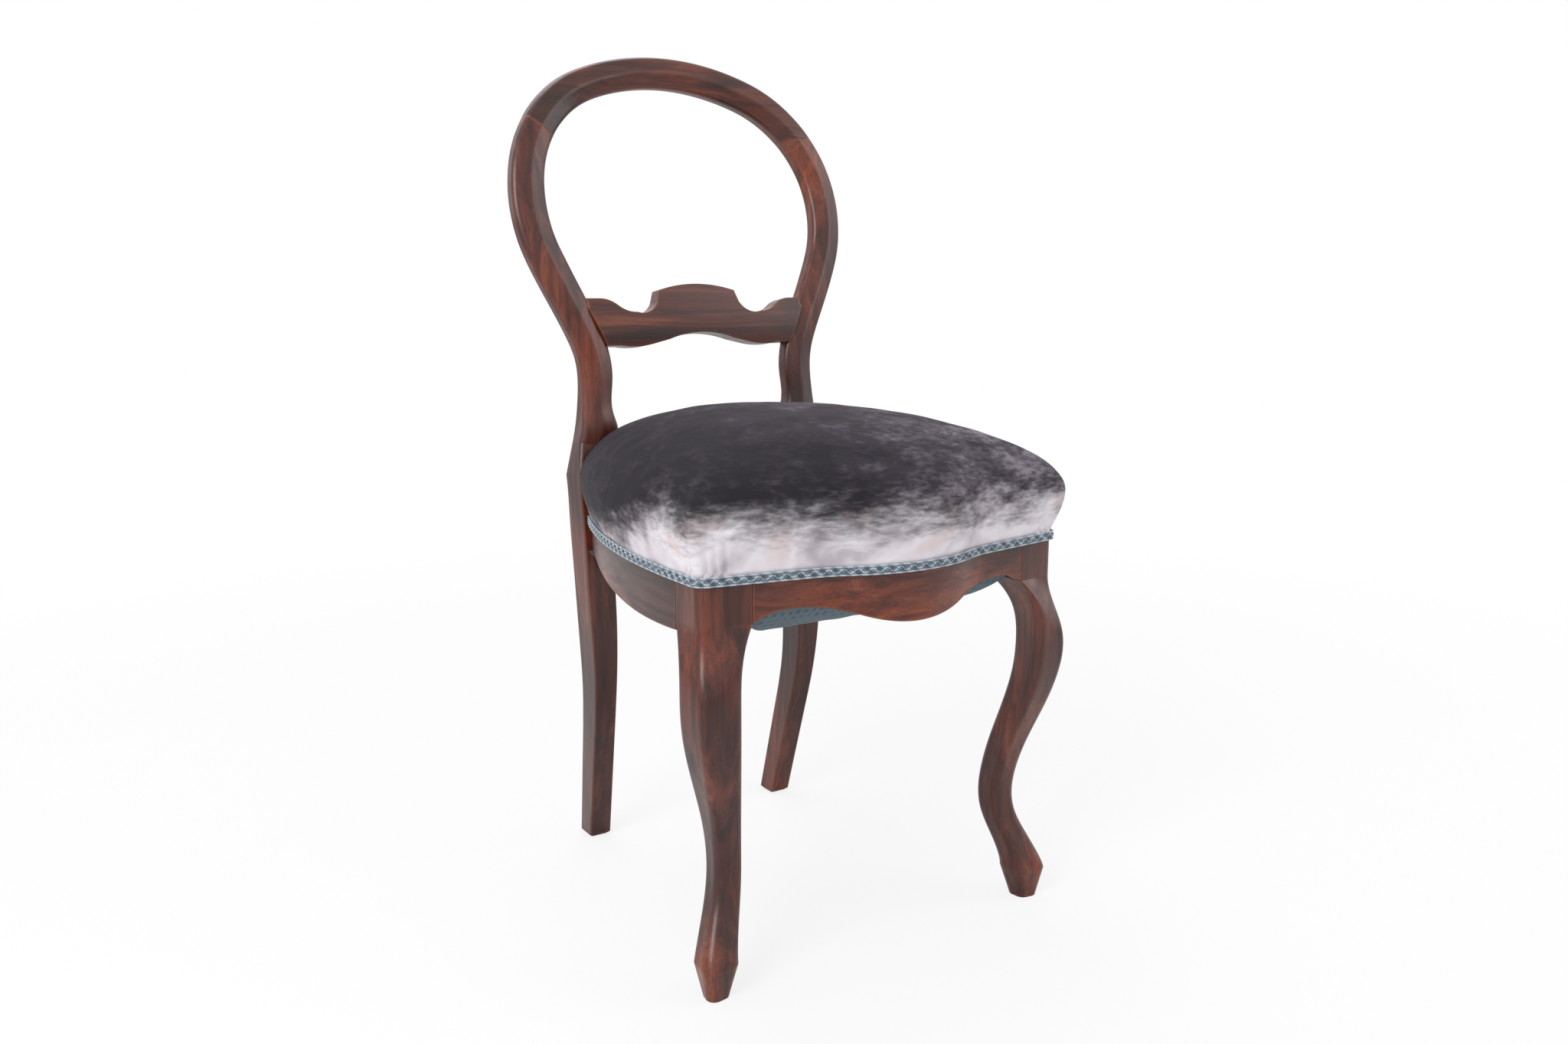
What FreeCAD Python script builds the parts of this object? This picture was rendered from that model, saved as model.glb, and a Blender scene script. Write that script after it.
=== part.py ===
import FreeCAD, Part
import math
import os

import Sketcher
from FreeCAD import Placement, Rotation, Vector

# Balloon back chair with a sprung, upholstered seat.
# Millimetres, +Z up, +X to the sitter's left as seen from the front, -Y to the front.
# The origin lies on the floor under the middle of the chair.

doc = FreeCAD.newDocument("balloon_back_chair")

# Driving dimensions

SIZES = (
    # cabriole front legs
    ("block_side", 50.0),
    ("block_x", 183.0),
    ("block_y", -191.0),
    ("middle_shift", 10.48),
    ("block_corner", 10.0),
    ("block_ease", 1.5),
    ("block_bottom", 350.0),
    ("rail_top", 428.0),
    ("front_foot_x", 190.0),
    ("front_foot_y", -200.0),
    ("knee_height", 280.0),
    ("knee_swing", 9.0),
    ("knee_along", 48.5),
    ("knee_across", 55.5),
    ("ankle_height", 112.0),
    ("ankle_swing", -32.0),
    ("ankle_along", 35.5),
    ("ankle_across", 33.0),
    ("toe_height", 32.0),
    ("toe_along", 46.0),
    ("toe_across", 41.5),
    ("foot_along", 27.0),
    ("foot_across", 24.0),
    ("leg_rounding", 8.0),
    ("toe_rounding", 12.0),
    # rear legs, below the seat
    ("rear_foot_outer", 139.5),
    ("rear_seat_outer", 163.0),
    ("rear_foot_y", 196.5),
    ("rear_bend_low", 145.0),
    ("rear_bend_top", 240.0),
    ("rear_leg_y", 151.0),
    ("rear_foot_width", 26.0),
    ("rear_foot_depth", 27.0),
    ("rear_seat_width", 33.0),
    ("rear_seat_depth", 38.0),
    ("rear_leg_edge", 1.8),
    ("foot_chamfer", 3.0),
    ("seat_joint_height", 438.0),
    # hoop of the back
    ("hoop_top", 883.0),
    ("crown_radius", 282.0),
    ("crown_sweep", 20.9),
    ("shoulder_radius", 139.5),
    ("shoulder_end", 79.2),
    ("flank_radius", 152.6),
    ("flank_end", 115.0),
    ("throat_radius", 110.0),
    ("waist_x", 131.0),
    ("neck_height", 471.0),
    ("neck_x", 139.0),
    ("neck_depth", 29.0),
    ("back_radius", 1070.0),
    ("back_start", 465.0),
    ("band_top", 34.5),
    ("band_side", 38.0),
    ("band_waist", 37.0),
    ("band_depth", 23.0),
    ("band_ridge", 3.5),
    ("band_edge", 6.0),
    ("band_back_edge", 4.5),
    ("neck_lean", 11.0),
    ("crest_joint", 56.0),
    # mid rail
    ("mid_rail_height", 610.0),
    ("mid_rail_depth", 23.0),
    ("tab_top", 35.5),
    ("tab_corner_x", 49.0),
    ("tab_corner_z", 28.0),
    ("scoop_x", 80.0),
    ("scoop_z", 3.5),
    ("lobe_x", 124.0),
    ("lobe_z", 19.0),
    ("belly_x", 84.0),
    ("belly_z", -34.5),
    ("arch_z", -20.0),
    ("mid_tenon_height", 30.0),
    ("tenon_thick", 10.0),
    # seat frame
    ("bulge_radius", 153.0),
    ("bulge_half", 68.0),
    ("reverse_radius", 126.0),
    ("run_angle", 9.6),
    ("side_rear_x", 151.0),
    ("rail_thick", 26.0),
    ("back_rail_y", 149.0),
    ("back_rail_thick", 22.0),
    ("apron_end", 350.0),
    ("apron_rise", 361.0),
    ("apron_rise_x", 119.0),
    ("apron_low", 340.0),
    ("side_low", 339.5),
    ("side_low_y", -100.0),
    ("side_rear_z", 368.0),
    ("seat_tenon_height", 44.0),
    ("seat_tenon_length", 18.0),
    ("webbing_level", 362.0),
    ("rebate_lip", 12.0),
    ("web_width", 50.0),
    ("web_thick", 2.0),
    ("web_pitch", 84.0),
    # corner blocks, screws, dowels
    ("corner_reach", 40.0),
    ("corner_height", 36.0),
    ("corner_level", 376.0),
    ("screw_diameter", 4.0),
    ("screw_head", 8.0),
    ("screw_length", 30.0),
    ("dowel_diameter", 8.0),
    ("dowel_length", 40.0),
    ("dowel_pitch", 17.0),
    # springs
    ("spring_radius", 36.0),
    ("spring_wire", 3.6),
    ("spring_turns", 4.0),
    ("spring_x", 66.0),
    ("spring_front_y", -92.0),
    ("spring_rear_y", 52.0),
    ("spring_height", 100.0),
    ("twine", 2.4),
    # upholstery
    ("cover_bottom", 388.0),
    ("bulge_height", 432.0),
    ("bulge_scale", 1.046),
    ("crown_height", 517.0),
    ("crown_shift", 22.0),
    ("cover_thick", 1.8),
    ("crown_power", 2.45),
    ("crown_root", 1.8),
    ("seat_middle_y", -31.0),
    ("hessian_top", 472.0),
    ("hessian_thick", 1.2),
    ("braid_height", 10.0),
    ("braid_thick", 1.8),
    ("dust_thick", 0.8),
    ("dust_sag", 42.0),
    ("tack_head", 6.0),
    ("tack_shank", 1.6),
    ("tack_length", 9.0),
    # clearances
    ("scribe", 2.5),
    ("glue_gap", 0.1),
    ("fit_gap", 0.15),
    ("cloth_gap", 0.3),
    ("post_room", 0.8),
)

sheet = doc.addObject("Spreadsheet::Sheet", "sizes")
for row, (alias, value) in enumerate(SIZES, start=1):
    sheet.set("A%d" % row, alias)
    sheet.set("B%d" % row, str(value))
    sheet.setAlias("B%d" % row, alias)
doc.recompute()


def size(alias):
    """Value of one cell of the sheet."""
    return float(getattr(sheet, alias))


def cell(alias):
    """Reference to one cell, for an expression."""
    return "sizes." + alias


# Sketch helpers

def plane_of(body, role):
    """One of the body's own origin planes."""
    return [f for f in body.Origin.OriginFeatures if f.Role == role][0]


def new_body(name):
    body = doc.addObject("PartDesign::Body", name)
    body.Label = name
    return body


def new_sketch(body, name, role="XY_Plane", place=None):
    sketch = body.newObject("Sketcher::SketchObject", name)
    sketch.AttachmentSupport = [(plane_of(body, role), "")]
    sketch.MapMode = "FlatFace"
    if place is not None:
        sketch.AttachmentOffset = place
    return sketch


def hull_edges(circles):
    """Arcs and tangent lines round circles (x, y, radius) in anticlockwise order."""
    count = len(circles)
    touch = []
    for i in range(count):
        xa, ya, ra = circles[i]
        xb, yb, rb = circles[(i + 1) % count]
        run = Vector(xb - xa, yb - ya, 0)
        turn = math.asin((ra - rb) / run.Length)
        heading = math.atan2(run.y, run.x) - math.pi / 2 + turn
        out = Vector(math.cos(heading), math.sin(heading), 0)
        touch.append((Vector(xa, ya, 0) + out * ra, Vector(xb, yb, 0) + out * rb, heading))
    edges = []
    for i in range(count):
        x, y, radius = circles[i]
        start = touch[i - 1][2]
        end = touch[i][2]
        while end < start:
            end += 2 * math.pi
        circle = Part.Circle(Vector(x, y, 0), Vector(0, 0, 1), radius)
        edges.append(Part.ArcOfCircle(circle, start, end))
        edges.append(Part.LineSegment(touch[i][0], touch[i][1]))
    return edges


def hull_section(body, name, circles, place):
    """Section sketch through the outside of a ring of circles."""
    sketch = new_sketch(body, name, place=place)
    sketch.addGeometry(hull_edges(circles), False)
    last = 2 * len(circles)
    for i in range(0, last, 2):
        sketch.addConstraint(Sketcher.Constraint("Tangent", i, 2, i + 1, 1))
        sketch.addConstraint(Sketcher.Constraint("Tangent", i + 1, 2, (i + 2) % last, 1))
        sketch.addConstraint(Sketcher.Constraint("Radius", i, circles[i // 2][2]))
    return sketch


def loft(body, name, sections, ruled=False):
    feature = body.newObject("PartDesign::AdditiveLoft", name)
    feature.Profile = sections[0]
    feature.Sections = sections[1:]
    feature.Ruled = ruled
    body.Tip = feature
    return feature


def chain_ends(edge):
    """Numbers of a sketched edge's first and last point; a sketch counts every arc anticlockwise."""
    clockwise = isinstance(edge, Part.ArcOfCircle) and edge.Axis.z < 0
    return (2, 1) if clockwise else (1, 2)


def outline_sketch(body, name, edges, role="XY_Plane", place=None):
    """Sketch of a closed outline whose edges follow each other."""
    sketch = new_sketch(body, name, role, place)
    sketch.addGeometry(edges, False)
    count = len(edges)
    for i in range(count):
        follower = (i + 1) % count
        last = chain_ends(sketch.Geometry[i])[1]
        first = chain_ends(sketch.Geometry[follower])[0]
        sketch.addConstraint(Sketcher.Constraint("Coincident", i, last, follower, first))
    return sketch


def pad(body, name, sketch, length, midplane=False):
    feature = body.newObject("PartDesign::Pad", name)
    feature.Profile = sketch
    feature.SideType = "Symmetric" if midplane else "One side"
    if isinstance(length, str):
        feature.setExpression("Length", length)
    else:
        feature.Length = length
    body.Tip = feature
    return feature


def box(name, low, high):
    """Box between two corners."""
    solid = doc.addObject("Part::Box", name)
    solid.Length = high[0] - low[0]
    solid.Width = high[1] - low[1]
    solid.Height = high[2] - low[2]
    solid.Placement = Placement(Vector(*low), Rotation())
    return solid


def grown_box(name, low, high, gap):
    """Box between two corners, larger by a gap on every side."""
    return box(name, [v - gap for v in low], [v + gap for v in high])


def slab(name, edges, low, high):
    """Upright prism of a closed plan outline between two heights."""
    body = new_body(name)
    sketch = outline_sketch(body, name + "_plan", edges, place=Placement(Vector(0, 0, low), Rotation()))
    pad(body, name + "_prism", sketch, high - low)
    return body


def rod(name, start, end, diameter):
    """Round bar between two points."""
    solid = doc.addObject("Part::Cylinder", name)
    solid.Radius = diameter / 2
    solid.Height = (end - start).Length
    solid.Placement = Placement(start, Rotation(Vector(0, 0, 1), end - start))
    return solid


def cut(name, base, tools):
    """Base less one tool, or less several tools one after the other."""
    for i, tool in enumerate(tools):
        result = doc.addObject("Part::Cut", name + "_cut%d" % i)
        result.Base = base
        result.Tool = tool
        base = result
    return base


def fuse(name, shapes):
    result = doc.addObject("Part::MultiFuse", name)
    result.Shapes = shapes
    result.Refine = True
    return result


def common(name, first, second):
    result = doc.addObject("Part::MultiCommon", name)
    result.Shapes = [first, second]
    return result


def group(name, shapes):
    result = doc.addObject("Part::Compound", name)
    result.Links = shapes
    return result


def arc(first, middle, last):
    points = [Vector(p[0], p[1], 0) for p in (first, middle, last)]
    return Part.Arc(points[0], points[1], points[2])


def line(first, last):
    return Part.LineSegment(Vector(first[0], first[1], 0), Vector(last[0], last[1], 0))


def mirrored_x(point):
    return (-point[0], point[1])


PARTS = {}


def keep(label, obj):
    """Name a finished piece; the name is also its file's."""
    obj.Label = label
    PARTS[label] = obj
    return obj


# Front view of the back: a chain of arcs from the top of the hoop to the waist

def hoop_point(heading):
    """Centreline of the right half of the hoop: x and z at a heading in degrees below level."""
    x = 0.0
    z = size("hoop_top")
    start = 0.0
    chain = (
        ("crown_radius", "crown_sweep"),
        ("shoulder_radius", "shoulder_end"),
        ("flank_radius", "flank_end"),
    )
    for radius_name, end_name in chain:
        radius = size(radius_name)
        end = min(heading, size(end_name))
        a = math.radians(start)
        b = math.radians(end)
        x += radius * (math.sin(b) - math.sin(a))
        z += radius * (math.cos(b) - math.cos(a))
        start = end
        if heading <= end:
            break
    return x, z


def back_y(z):
    """Depth of the back's middle plane at a height: upright at the seat, bent back above."""
    rise = max(0.0, z - size("back_start"))
    return size("rear_leg_y") + rise * rise / (2 * size("back_radius"))


def band_circles(width, depth, ridge, edge):
    """Section of the band: flat back with eased edges, front rising to a soft middle ridge."""
    half = width / 2
    back = depth / 2
    ease = min(size("band_back_edge"), edge)
    front = edge - back + ridge
    return [
        (0.0, -back + edge, edge),
        (half - edge, front, edge),
        (half - ease, back - ease, ease),
        (-half + ease, back - ease, ease),
        (-half + edge, front, edge),
    ]


def band_width(heading):
    """Width of the band in front view."""
    share = min(abs(heading), 90.0) / 90.0
    return size("band_top") + (size("band_side") - size("band_top")) * share


def band_section(body, name, x, z, lean, width):
    """Section of the band square to its front view direction, lean in degrees from upright."""
    place = Placement(Vector(x, back_y(z), z), Rotation(Vector(0, 1, 0), lean))
    circles = band_circles(width, size("band_depth"), size("band_ridge"), size("band_edge"))
    return hull_section(body, name, circles, place)


# Rear legs with their back posts

def mix(first, last, share):
    return first + (last - first) * share


def ease_share(share):
    """Share that starts and ends level."""
    return (1 - math.cos(math.pi * share)) / 2


def rear_outer(z):
    """Outer face of the rear leg in front view: a straight line from the foot to the seat joint."""
    share = z / size("seat_joint_height")
    return size("rear_foot_outer") + (size("rear_seat_outer") - size("rear_foot_outer")) * share


def square_ring(width, depth, edge):
    """Circles of a square section with eased edges."""
    a = width / 2 - edge
    b = depth / 2 - edge
    return [(a, -b, edge), (a, b, edge), (-a, b, edge), (-a, -b, edge)]


def leg_section(body, name, side, z, y, width, depth, edge):
    """Level section of the leg below the seat joint."""
    x = rear_outer(z) - width / 2
    place = Placement(Vector(side * x, y, z), Rotation())
    return hull_section(body, name, square_ring(width, depth, edge), place)


def throat():
    """Bend of the post above the waist: lean in degrees, height of the waist and end of the bend."""
    lean = size("flank_end") - 90.0
    a = math.radians(lean)
    x_end, z_end = hoop_point(size("flank_end"))
    x_bend = size("waist_x") + size("throat_radius") * (1 - math.cos(a))
    z_bend = z_end - (x_end - x_bend) / math.tan(a)
    return lean, z_bend - size("throat_radius") * math.sin(a), x_bend, z_bend


def post_x(z):
    """Middle of the post in front view between the throat and the flank."""
    lean, z_waist, x_bend, z_bend = throat()
    return x_bend + (z - z_bend) * math.tan(math.radians(lean))


def neck_station(share):
    """Middle of the post, its height and its depth from the neck, share 0, to the waist, share 1."""
    x = mix(size("waist_x"), size("neck_x"), (1 - share) ** 2)
    z = mix(size("neck_height"), throat()[1], share)
    return x, z, mix(size("neck_depth"), size("band_depth"), ease_share(share))


def rear_middle(z):
    """Middle of the rear leg in side view: a straight raked shin, bent upright below the seat."""
    bend = size("rear_bend_top") - size("rear_bend_low")
    rake = (size("rear_foot_y") - size("rear_leg_y")) / (size("rear_bend_low") + bend / 2)
    if z < size("rear_bend_low"):
        return size("rear_foot_y") - rake * z
    left = max(0.0, size("rear_bend_top") - z)
    return size("rear_leg_y") + rake * left * left / (2 * bend)


def rear_leg(name, side):
    """Leg and back post of one sawn plank, as two bodies that meet at the seat joint; side -1 is the left."""
    body = new_body(name + "_blank")
    joint = size("seat_joint_height")
    width = size("rear_foot_width")
    depth = size("rear_foot_depth")
    edge = size("rear_leg_edge")
    chamfer = size("foot_chamfer")
    foot = leg_section(body, name + "_sole", side, 0.0, rear_middle(0.0), width - 2 * chamfer,
                       depth - 2 * chamfer, edge)
    foot_middle = Vector(side * (rear_outer(0.0) - width / 2), rear_middle(0.0), 0)
    foot.AttachmentOffset = Placement(foot_middle, Rotation())
    low = size("rear_bend_low")
    levels = [chamfer, low]
    levels += [mix(low, size("rear_bend_top"), share) for share in (0.33, 0.67, 1.0)]
    levels += [mix(size("rear_bend_top"), joint, share) for share in (0.25, 0.5, 0.75, 1.0)]
    sections = []
    for i, z in enumerate(levels):
        widening = ease_share(min(1.0, max(0.0, z - low) / (joint - low) / 0.6))
        width = mix(size("rear_foot_width"), size("rear_seat_width"), widening)
        depth = mix(size("rear_foot_depth"), size("rear_seat_depth"), min(1.0, z / size("rear_bend_top")))
        sections.append(leg_section(body, "%s_leg%d" % (name, i), side, z, rear_middle(z),
                                    width, depth, edge))
    loft(body, name + "_toe", [foot, sections[0]], ruled=True)
    loft(body, name + "_shin", sections[:2], ruled=True)
    loft(body, name + "_leg", sections[1:])

    # post, from the seat joint up to the crest joint
    post = new_body(name + "_post")
    width = size("rear_seat_width")
    x = size("rear_seat_outer") - width / 2
    ring = band_circles(width, size("rear_seat_depth"), 0.6, edge + 0.5)
    place = Placement(Vector(side * x, size("rear_leg_y"), joint), Rotation())
    seat_joint = hull_section(post, name + "_joint", ring, place)
    lean, z_waist, x_bend, z_bend = throat()
    sections = []
    for share in (0.0, 0.5):
        x, z, depth = neck_station(share)
        ring = band_circles(size("band_waist"), depth, size("band_ridge"), size("band_edge"))
        place = Placement(Vector(side * x, back_y(z), z),
                          Rotation(Vector(0, 1, 0), -side * size("neck_lean") * (1 - share)))
        sections.append(hull_section(post, "%s_neck%d" % (name, share * 10), ring, place))
    loft(post, name + "_shoulder", [seat_joint, sections[0]], ruled=True)
    for share in (0.0, 0.5, 1.0):
        a = math.radians(lean * share)
        x = size("waist_x") + size("throat_radius") * (1 - math.cos(a))
        z = z_waist + size("throat_radius") * math.sin(a)
        sections.append(band_section(post, "%s_throat%d" % (name, share * 10), side * x, z,
                                     side * lean * share, size("band_waist")))
    x_end, z_end = hoop_point(size("flank_end"))
    sections.append(band_section(post, name + "_run", side * (x_bend + x_end) / 2, (z_bend + z_end) / 2,
                                 side * lean, (size("band_waist") + size("band_side")) / 2))
    steps = 7
    for i in range(steps + 1):
        heading = size("flank_end") + (size("crest_joint") - size("flank_end")) * i / steps
        x, z = hoop_point(heading)
        sections.append(band_section(post, "%s_hoop%d" % (name, i), side * x, z,
                                     side * (heading - 90.0), band_width(heading)))
    loft(post, name + "_band", sections)
    return body, post


SIDES = ((-1, "left"), (1, "right"))
legs_below = {}
posts_above = {}
for side, word in SIDES:
    legs_below[side], posts_above[side] = rear_leg("rear_" + word, side)

# Crest rail: the top of the hoop between the two slanted joints

crest = new_body("crest_blank")
crest_sections = []
crest_steps = 6
for i in range(-crest_steps, crest_steps + 1):
    heading = size("crest_joint") * i / crest_steps
    x, z = hoop_point(abs(heading))
    crest_sections.append(band_section(crest, "crest_%d" % (i + crest_steps), math.copysign(x, heading), z,
                                       90.0 + heading, band_width(heading)))
loft(crest, "crest_band", crest_sections)


def crest_dowels(gap):
    """Two dowels across each crest joint, or their holes with a gap."""
    x, z = hoop_point(size("crest_joint"))
    heading = math.radians(size("crest_joint"))
    half = size("dowel_length") / 2 + gap
    lean = (z - size("back_start")) / size("back_radius")
    pins = []
    for side, word in SIDES:
        along = Vector(side * math.cos(heading), -math.sin(heading) * lean, -math.sin(heading))
        along.normalize()
        across = Vector(side * math.sin(heading), math.cos(heading) * lean, math.cos(heading))
        for shift in (-0.5, 0.5):
            middle = Vector(side * x, back_y(z), z) + across * (shift * size("dowel_pitch"))
            pins.append(rod("dowel_%s" % word, middle - along * half, middle + along * half,
                            size("dowel_diameter") + 2 * gap))
    return pins


dowels = group("dowels", crest_dowels(0.0))
dowel_holes = group("dowel_holes", crest_dowels(size("fit_gap")))
keep("crest_dowels", dowels)
keep("crest_rail", cut("crest_rail", crest, [dowel_holes]))

# Mid rail: front outline through a moulded profile, scribed to the posts

MID = size("mid_rail_height")
mid_lean = math.degrees(math.atan((MID - size("back_start")) / size("back_radius")))
mid_place = Placement(Vector(0, back_y(MID), MID), Rotation(Vector(1, 0, 0), -mid_lean))


def mid_rail_outline():
    """Front view of the mid rail: tab, scoops and lobes above, two bellies and an arch below."""
    tab = (size("tab_corner_x"), size("tab_corner_z"))
    scoop = (size("scoop_x"), size("scoop_z"))
    lobe = (size("lobe_x"), size("lobe_z"))
    belly = (size("belly_x"), size("belly_z"))
    scribe = size("band_waist") / 2 - 4.0
    end_x = post_x(MID + lobe[1]) - scribe
    low_x = post_x(MID + belly[1]) - scribe
    slip = (tab[0] + 4.0, (tab[1] + scoop[1]) / 2 - 1.0)
    turn = ((scoop[0] + lobe[0]) / 2, (scoop[1] + lobe[1]) / 2)
    swell = ((belly[0]) / 2, (belly[1] + size("arch_z")) / 2)
    end_low = size("belly_z") + 1.5
    right = [
        line(tab, slip),
        arc(slip, (slip[0] + 8.0, scoop[1] + 2.4), scoop),
        arc(scoop, ((scoop[0] + turn[0]) / 2 + 1.0, scoop[1] + 1.9), turn),
        arc(turn, ((turn[0] + lobe[0]) / 2 - 1.0, lobe[1] - 1.9), lobe),
        line(lobe, (end_x, lobe[1])),
        line((end_x, lobe[1]), (low_x, end_low)),
        line((low_x, end_low), (belly[0] + 18.0, end_low)),
        arc((belly[0] + 18.0, end_low), belly, (belly[0] - 20.0, belly[1] + 2.2)),
        line((belly[0] - 20.0, belly[1] + 2.2), (swell[0], swell[1])),
    ]
    left = []
    for edge in reversed(right):
        first = edge.StartPoint
        last = edge.EndPoint
        if isinstance(edge, Part.LineSegment):
            left.append(line((-last.x, last.y), (-first.x, first.y)))
        else:
            middle = edge.value((edge.FirstParameter + edge.LastParameter) / 2)
            left.append(arc((-last.x, last.y), (-middle.x, middle.y), (-first.x, first.y)))
    bottom = arc(swell, (0.0, size("arch_z")), mirrored_x(swell))
    top = arc(mirrored_x(tab), (0.0, size("tab_top")), tab)
    return [top] + right + [bottom] + left


def mid_rail_profile():
    """End view: flat back, convex lower front, and above the ridge a hollow bevel leaning back."""
    back = size("mid_rail_depth") / 2
    front = -back
    reach = 50.0
    ridge = (front + 0.8, 3.0)
    return [
        line((back, -reach), (back, reach)),
        line((back, reach), (-1.0, reach)),
        arc((-1.0, reach), (front * 0.52, 22.0), ridge),
        arc(ridge, (front, -12.0), (front * 0.35, -reach)),
        line((front * 0.35, -reach), (back, -reach)),
    ]


mid_front = new_body("mid_rail_front")
mid_front.Placement = mid_place
pad(mid_front, "mid_rail_sawn", outline_sketch(mid_front, "mid_rail_outline", mid_rail_outline(), "XZ_Plane"),
    "2 * " + cell("mid_rail_depth"), midplane=True)
mid_side = new_body("mid_rail_side")
mid_side.Placement = mid_place
pad(mid_side, "mid_rail_moulded", outline_sketch(mid_side, "mid_rail_profile", mid_rail_profile(), "YZ_Plane"),
    "3 * " + cell("waist_x"), midplane=True)
mid_blank = common("mid_rail_blank", mid_front, mid_side)


def mid_tenon(side, gap):
    """Tenon of the mid rail in a post, or its mortise with a gap."""
    ends = sorted((side * (size("lobe_x") - 10.0), side * (post_x(MID) + 2.0)))
    half = size("tenon_thick") / 2
    height = size("mid_tenon_height") / 2
    middle = MID + (size("lobe_z") + size("belly_z")) / 2
    return grown_box("mid_tenon", (ends[0], back_y(MID) - half, middle - height),
                     (ends[1], back_y(MID) + half, middle + height), gap)


mid_rail = cut("mid_rail", mid_blank, [posts_above[-1], posts_above[1]])
keep("mid_rail", fuse("mid_rail_tenoned", [mid_rail, mid_tenon(-1, 0.0), mid_tenon(1, 0.0)]))

# Plan of the seat frame

BLOCK_IN = size("block_x") - size("block_side") / 2
BLOCK_OUT = size("block_x") + size("block_side") / 2
BLOCK_FRONT = size("block_y") - size("block_side") / 2
BLOCK_BACK = size("block_y") + size("block_side") / 2
POST_FRONT = size("rear_leg_y") - size("rear_seat_depth") / 2
POST_BACK = size("rear_leg_y") + size("rear_seat_depth") / 2
RAIL_INNER = BLOCK_FRONT + size("rail_thick")
BACK_OUTER = size("back_rail_y") + size("back_rail_thick") / 2
BACK_INNER = size("back_rail_y") - size("back_rail_thick") / 2
sweep = BLOCK_OUT - size("side_rear_x")
SIDE_RADIUS = (sweep * sweep + (POST_FRONT - BLOCK_BACK) ** 2) / (2 * sweep)


def side_x(y, offset=0.0):
    """Outer face of the side rail at a depth, moved outwards by an offset."""
    return BLOCK_OUT - SIDE_RADIUS + math.sqrt((SIDE_RADIUS + offset) ** 2 - (y - BLOCK_BACK) ** 2)


def front_curve(offset):
    """Right half of the serpentine front: middle, bulge end, reverse end, and middles of the two arcs."""
    a = math.asin(size("bulge_half") / size("bulge_radius"))
    b = math.radians(size("run_angle"))
    reverse = size("reverse_radius")
    bulge = size("bulge_radius")
    x_run = size("bulge_half") + reverse * (math.sin(a) - math.sin(b))
    y_run = BLOCK_FRONT - (BLOCK_IN - x_run) * math.tan(b)
    y_bulge = y_run - reverse * (math.cos(b) - math.cos(a))
    bulge_y = y_bulge + bulge * math.cos(a)
    centre = (size("bulge_half") + reverse * math.sin(a), y_bulge - reverse * math.cos(a))

    def on_bulge(angle):
        return ((bulge + offset) * math.sin(angle), bulge_y - (bulge + offset) * math.cos(angle))

    def on_reverse(angle):
        radius = reverse - offset
        return (centre[0] - radius * math.sin(angle), centre[1] + radius * math.cos(angle))

    return on_bulge(0.0), on_bulge(a), on_reverse(b), on_reverse((a + b) / 2)


def corner_centre():
    """Middle of the rounded outer corner of a front block, tangent to its front and side faces."""
    b = math.radians(size("run_angle"))
    radius = size("block_corner")
    x = BLOCK_OUT - radius
    run = (x - BLOCK_IN + radius * math.sin(b)) / math.cos(b)
    return x, BLOCK_FRONT + run * math.sin(b) + radius * math.cos(b)


def seat_outline(offset, scale=1.0):
    """Closed plan of the whole seat, moved outwards by an offset and scaled about the seat's middle."""
    middle, bulge_end, run_start, reverse_middle = front_curve(offset)
    b = math.radians(size("run_angle"))
    x, y = corner_centre()
    radius = size("block_corner") + offset

    def on_corner(angle):
        return (x + radius * math.sin(angle), y - radius * math.cos(angle))

    back = BACK_OUTER + offset
    side_middle = (BLOCK_BACK + back) / 2
    path = [
        ("arc", reverse_middle, run_start),
        ("line", None, on_corner(b)),
        ("arc", on_corner((b + math.pi / 2) / 2), on_corner(math.pi / 2)),
        ("line", None, (BLOCK_OUT + offset, BLOCK_BACK)),
        ("arc", (side_x(side_middle, offset), side_middle), (side_x(back, offset), back)),
    ]

    def scaled(point):
        centre = size("seat_middle_y")
        return (point[0] * scale, centre + (point[1] - centre) * scale)

    right = []
    here = bulge_end
    for kind, through, there in path:
        if kind == "arc":
            right.append(arc(scaled(here), scaled(through), scaled(there)))
        else:
            right.append(line(scaled(here), scaled(there)))
        here = there
    left = []
    stops = [bulge_end] + [step[2] for step in path]
    for i in range(len(path) - 1, -1, -1):
        kind, through, there = path[i]
        first = scaled(mirrored_x(stops[i + 1]))
        last = scaled(mirrored_x(stops[i]))
        if kind == "arc":
            left.append(arc(first, scaled(mirrored_x(through)), last))
        else:
            left.append(line(first, last))
    back_line = line(scaled(here), scaled(mirrored_x(here)))
    bulge = arc(scaled(mirrored_x(bulge_end)), scaled(middle), scaled(bulge_end))
    return [bulge] + right + [back_line] + left


# Cabriole front legs

def block_ring(side):
    """Circles of the square block above the leg, its outer corner rounded, anticlockwise."""
    ease = size("block_ease")
    x, y = corner_centre()
    outer = (side * x, y, size("block_corner"))
    front = (side * (BLOCK_IN + ease), BLOCK_FRONT + ease, ease)
    inner = (side * (BLOCK_IN + ease), BLOCK_BACK - ease, ease)
    back = (side * (BLOCK_OUT - ease), BLOCK_BACK - ease, ease)
    if side > 0:
        return [outer, back, inner, front]
    return [outer, front, inner, back]


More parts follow.
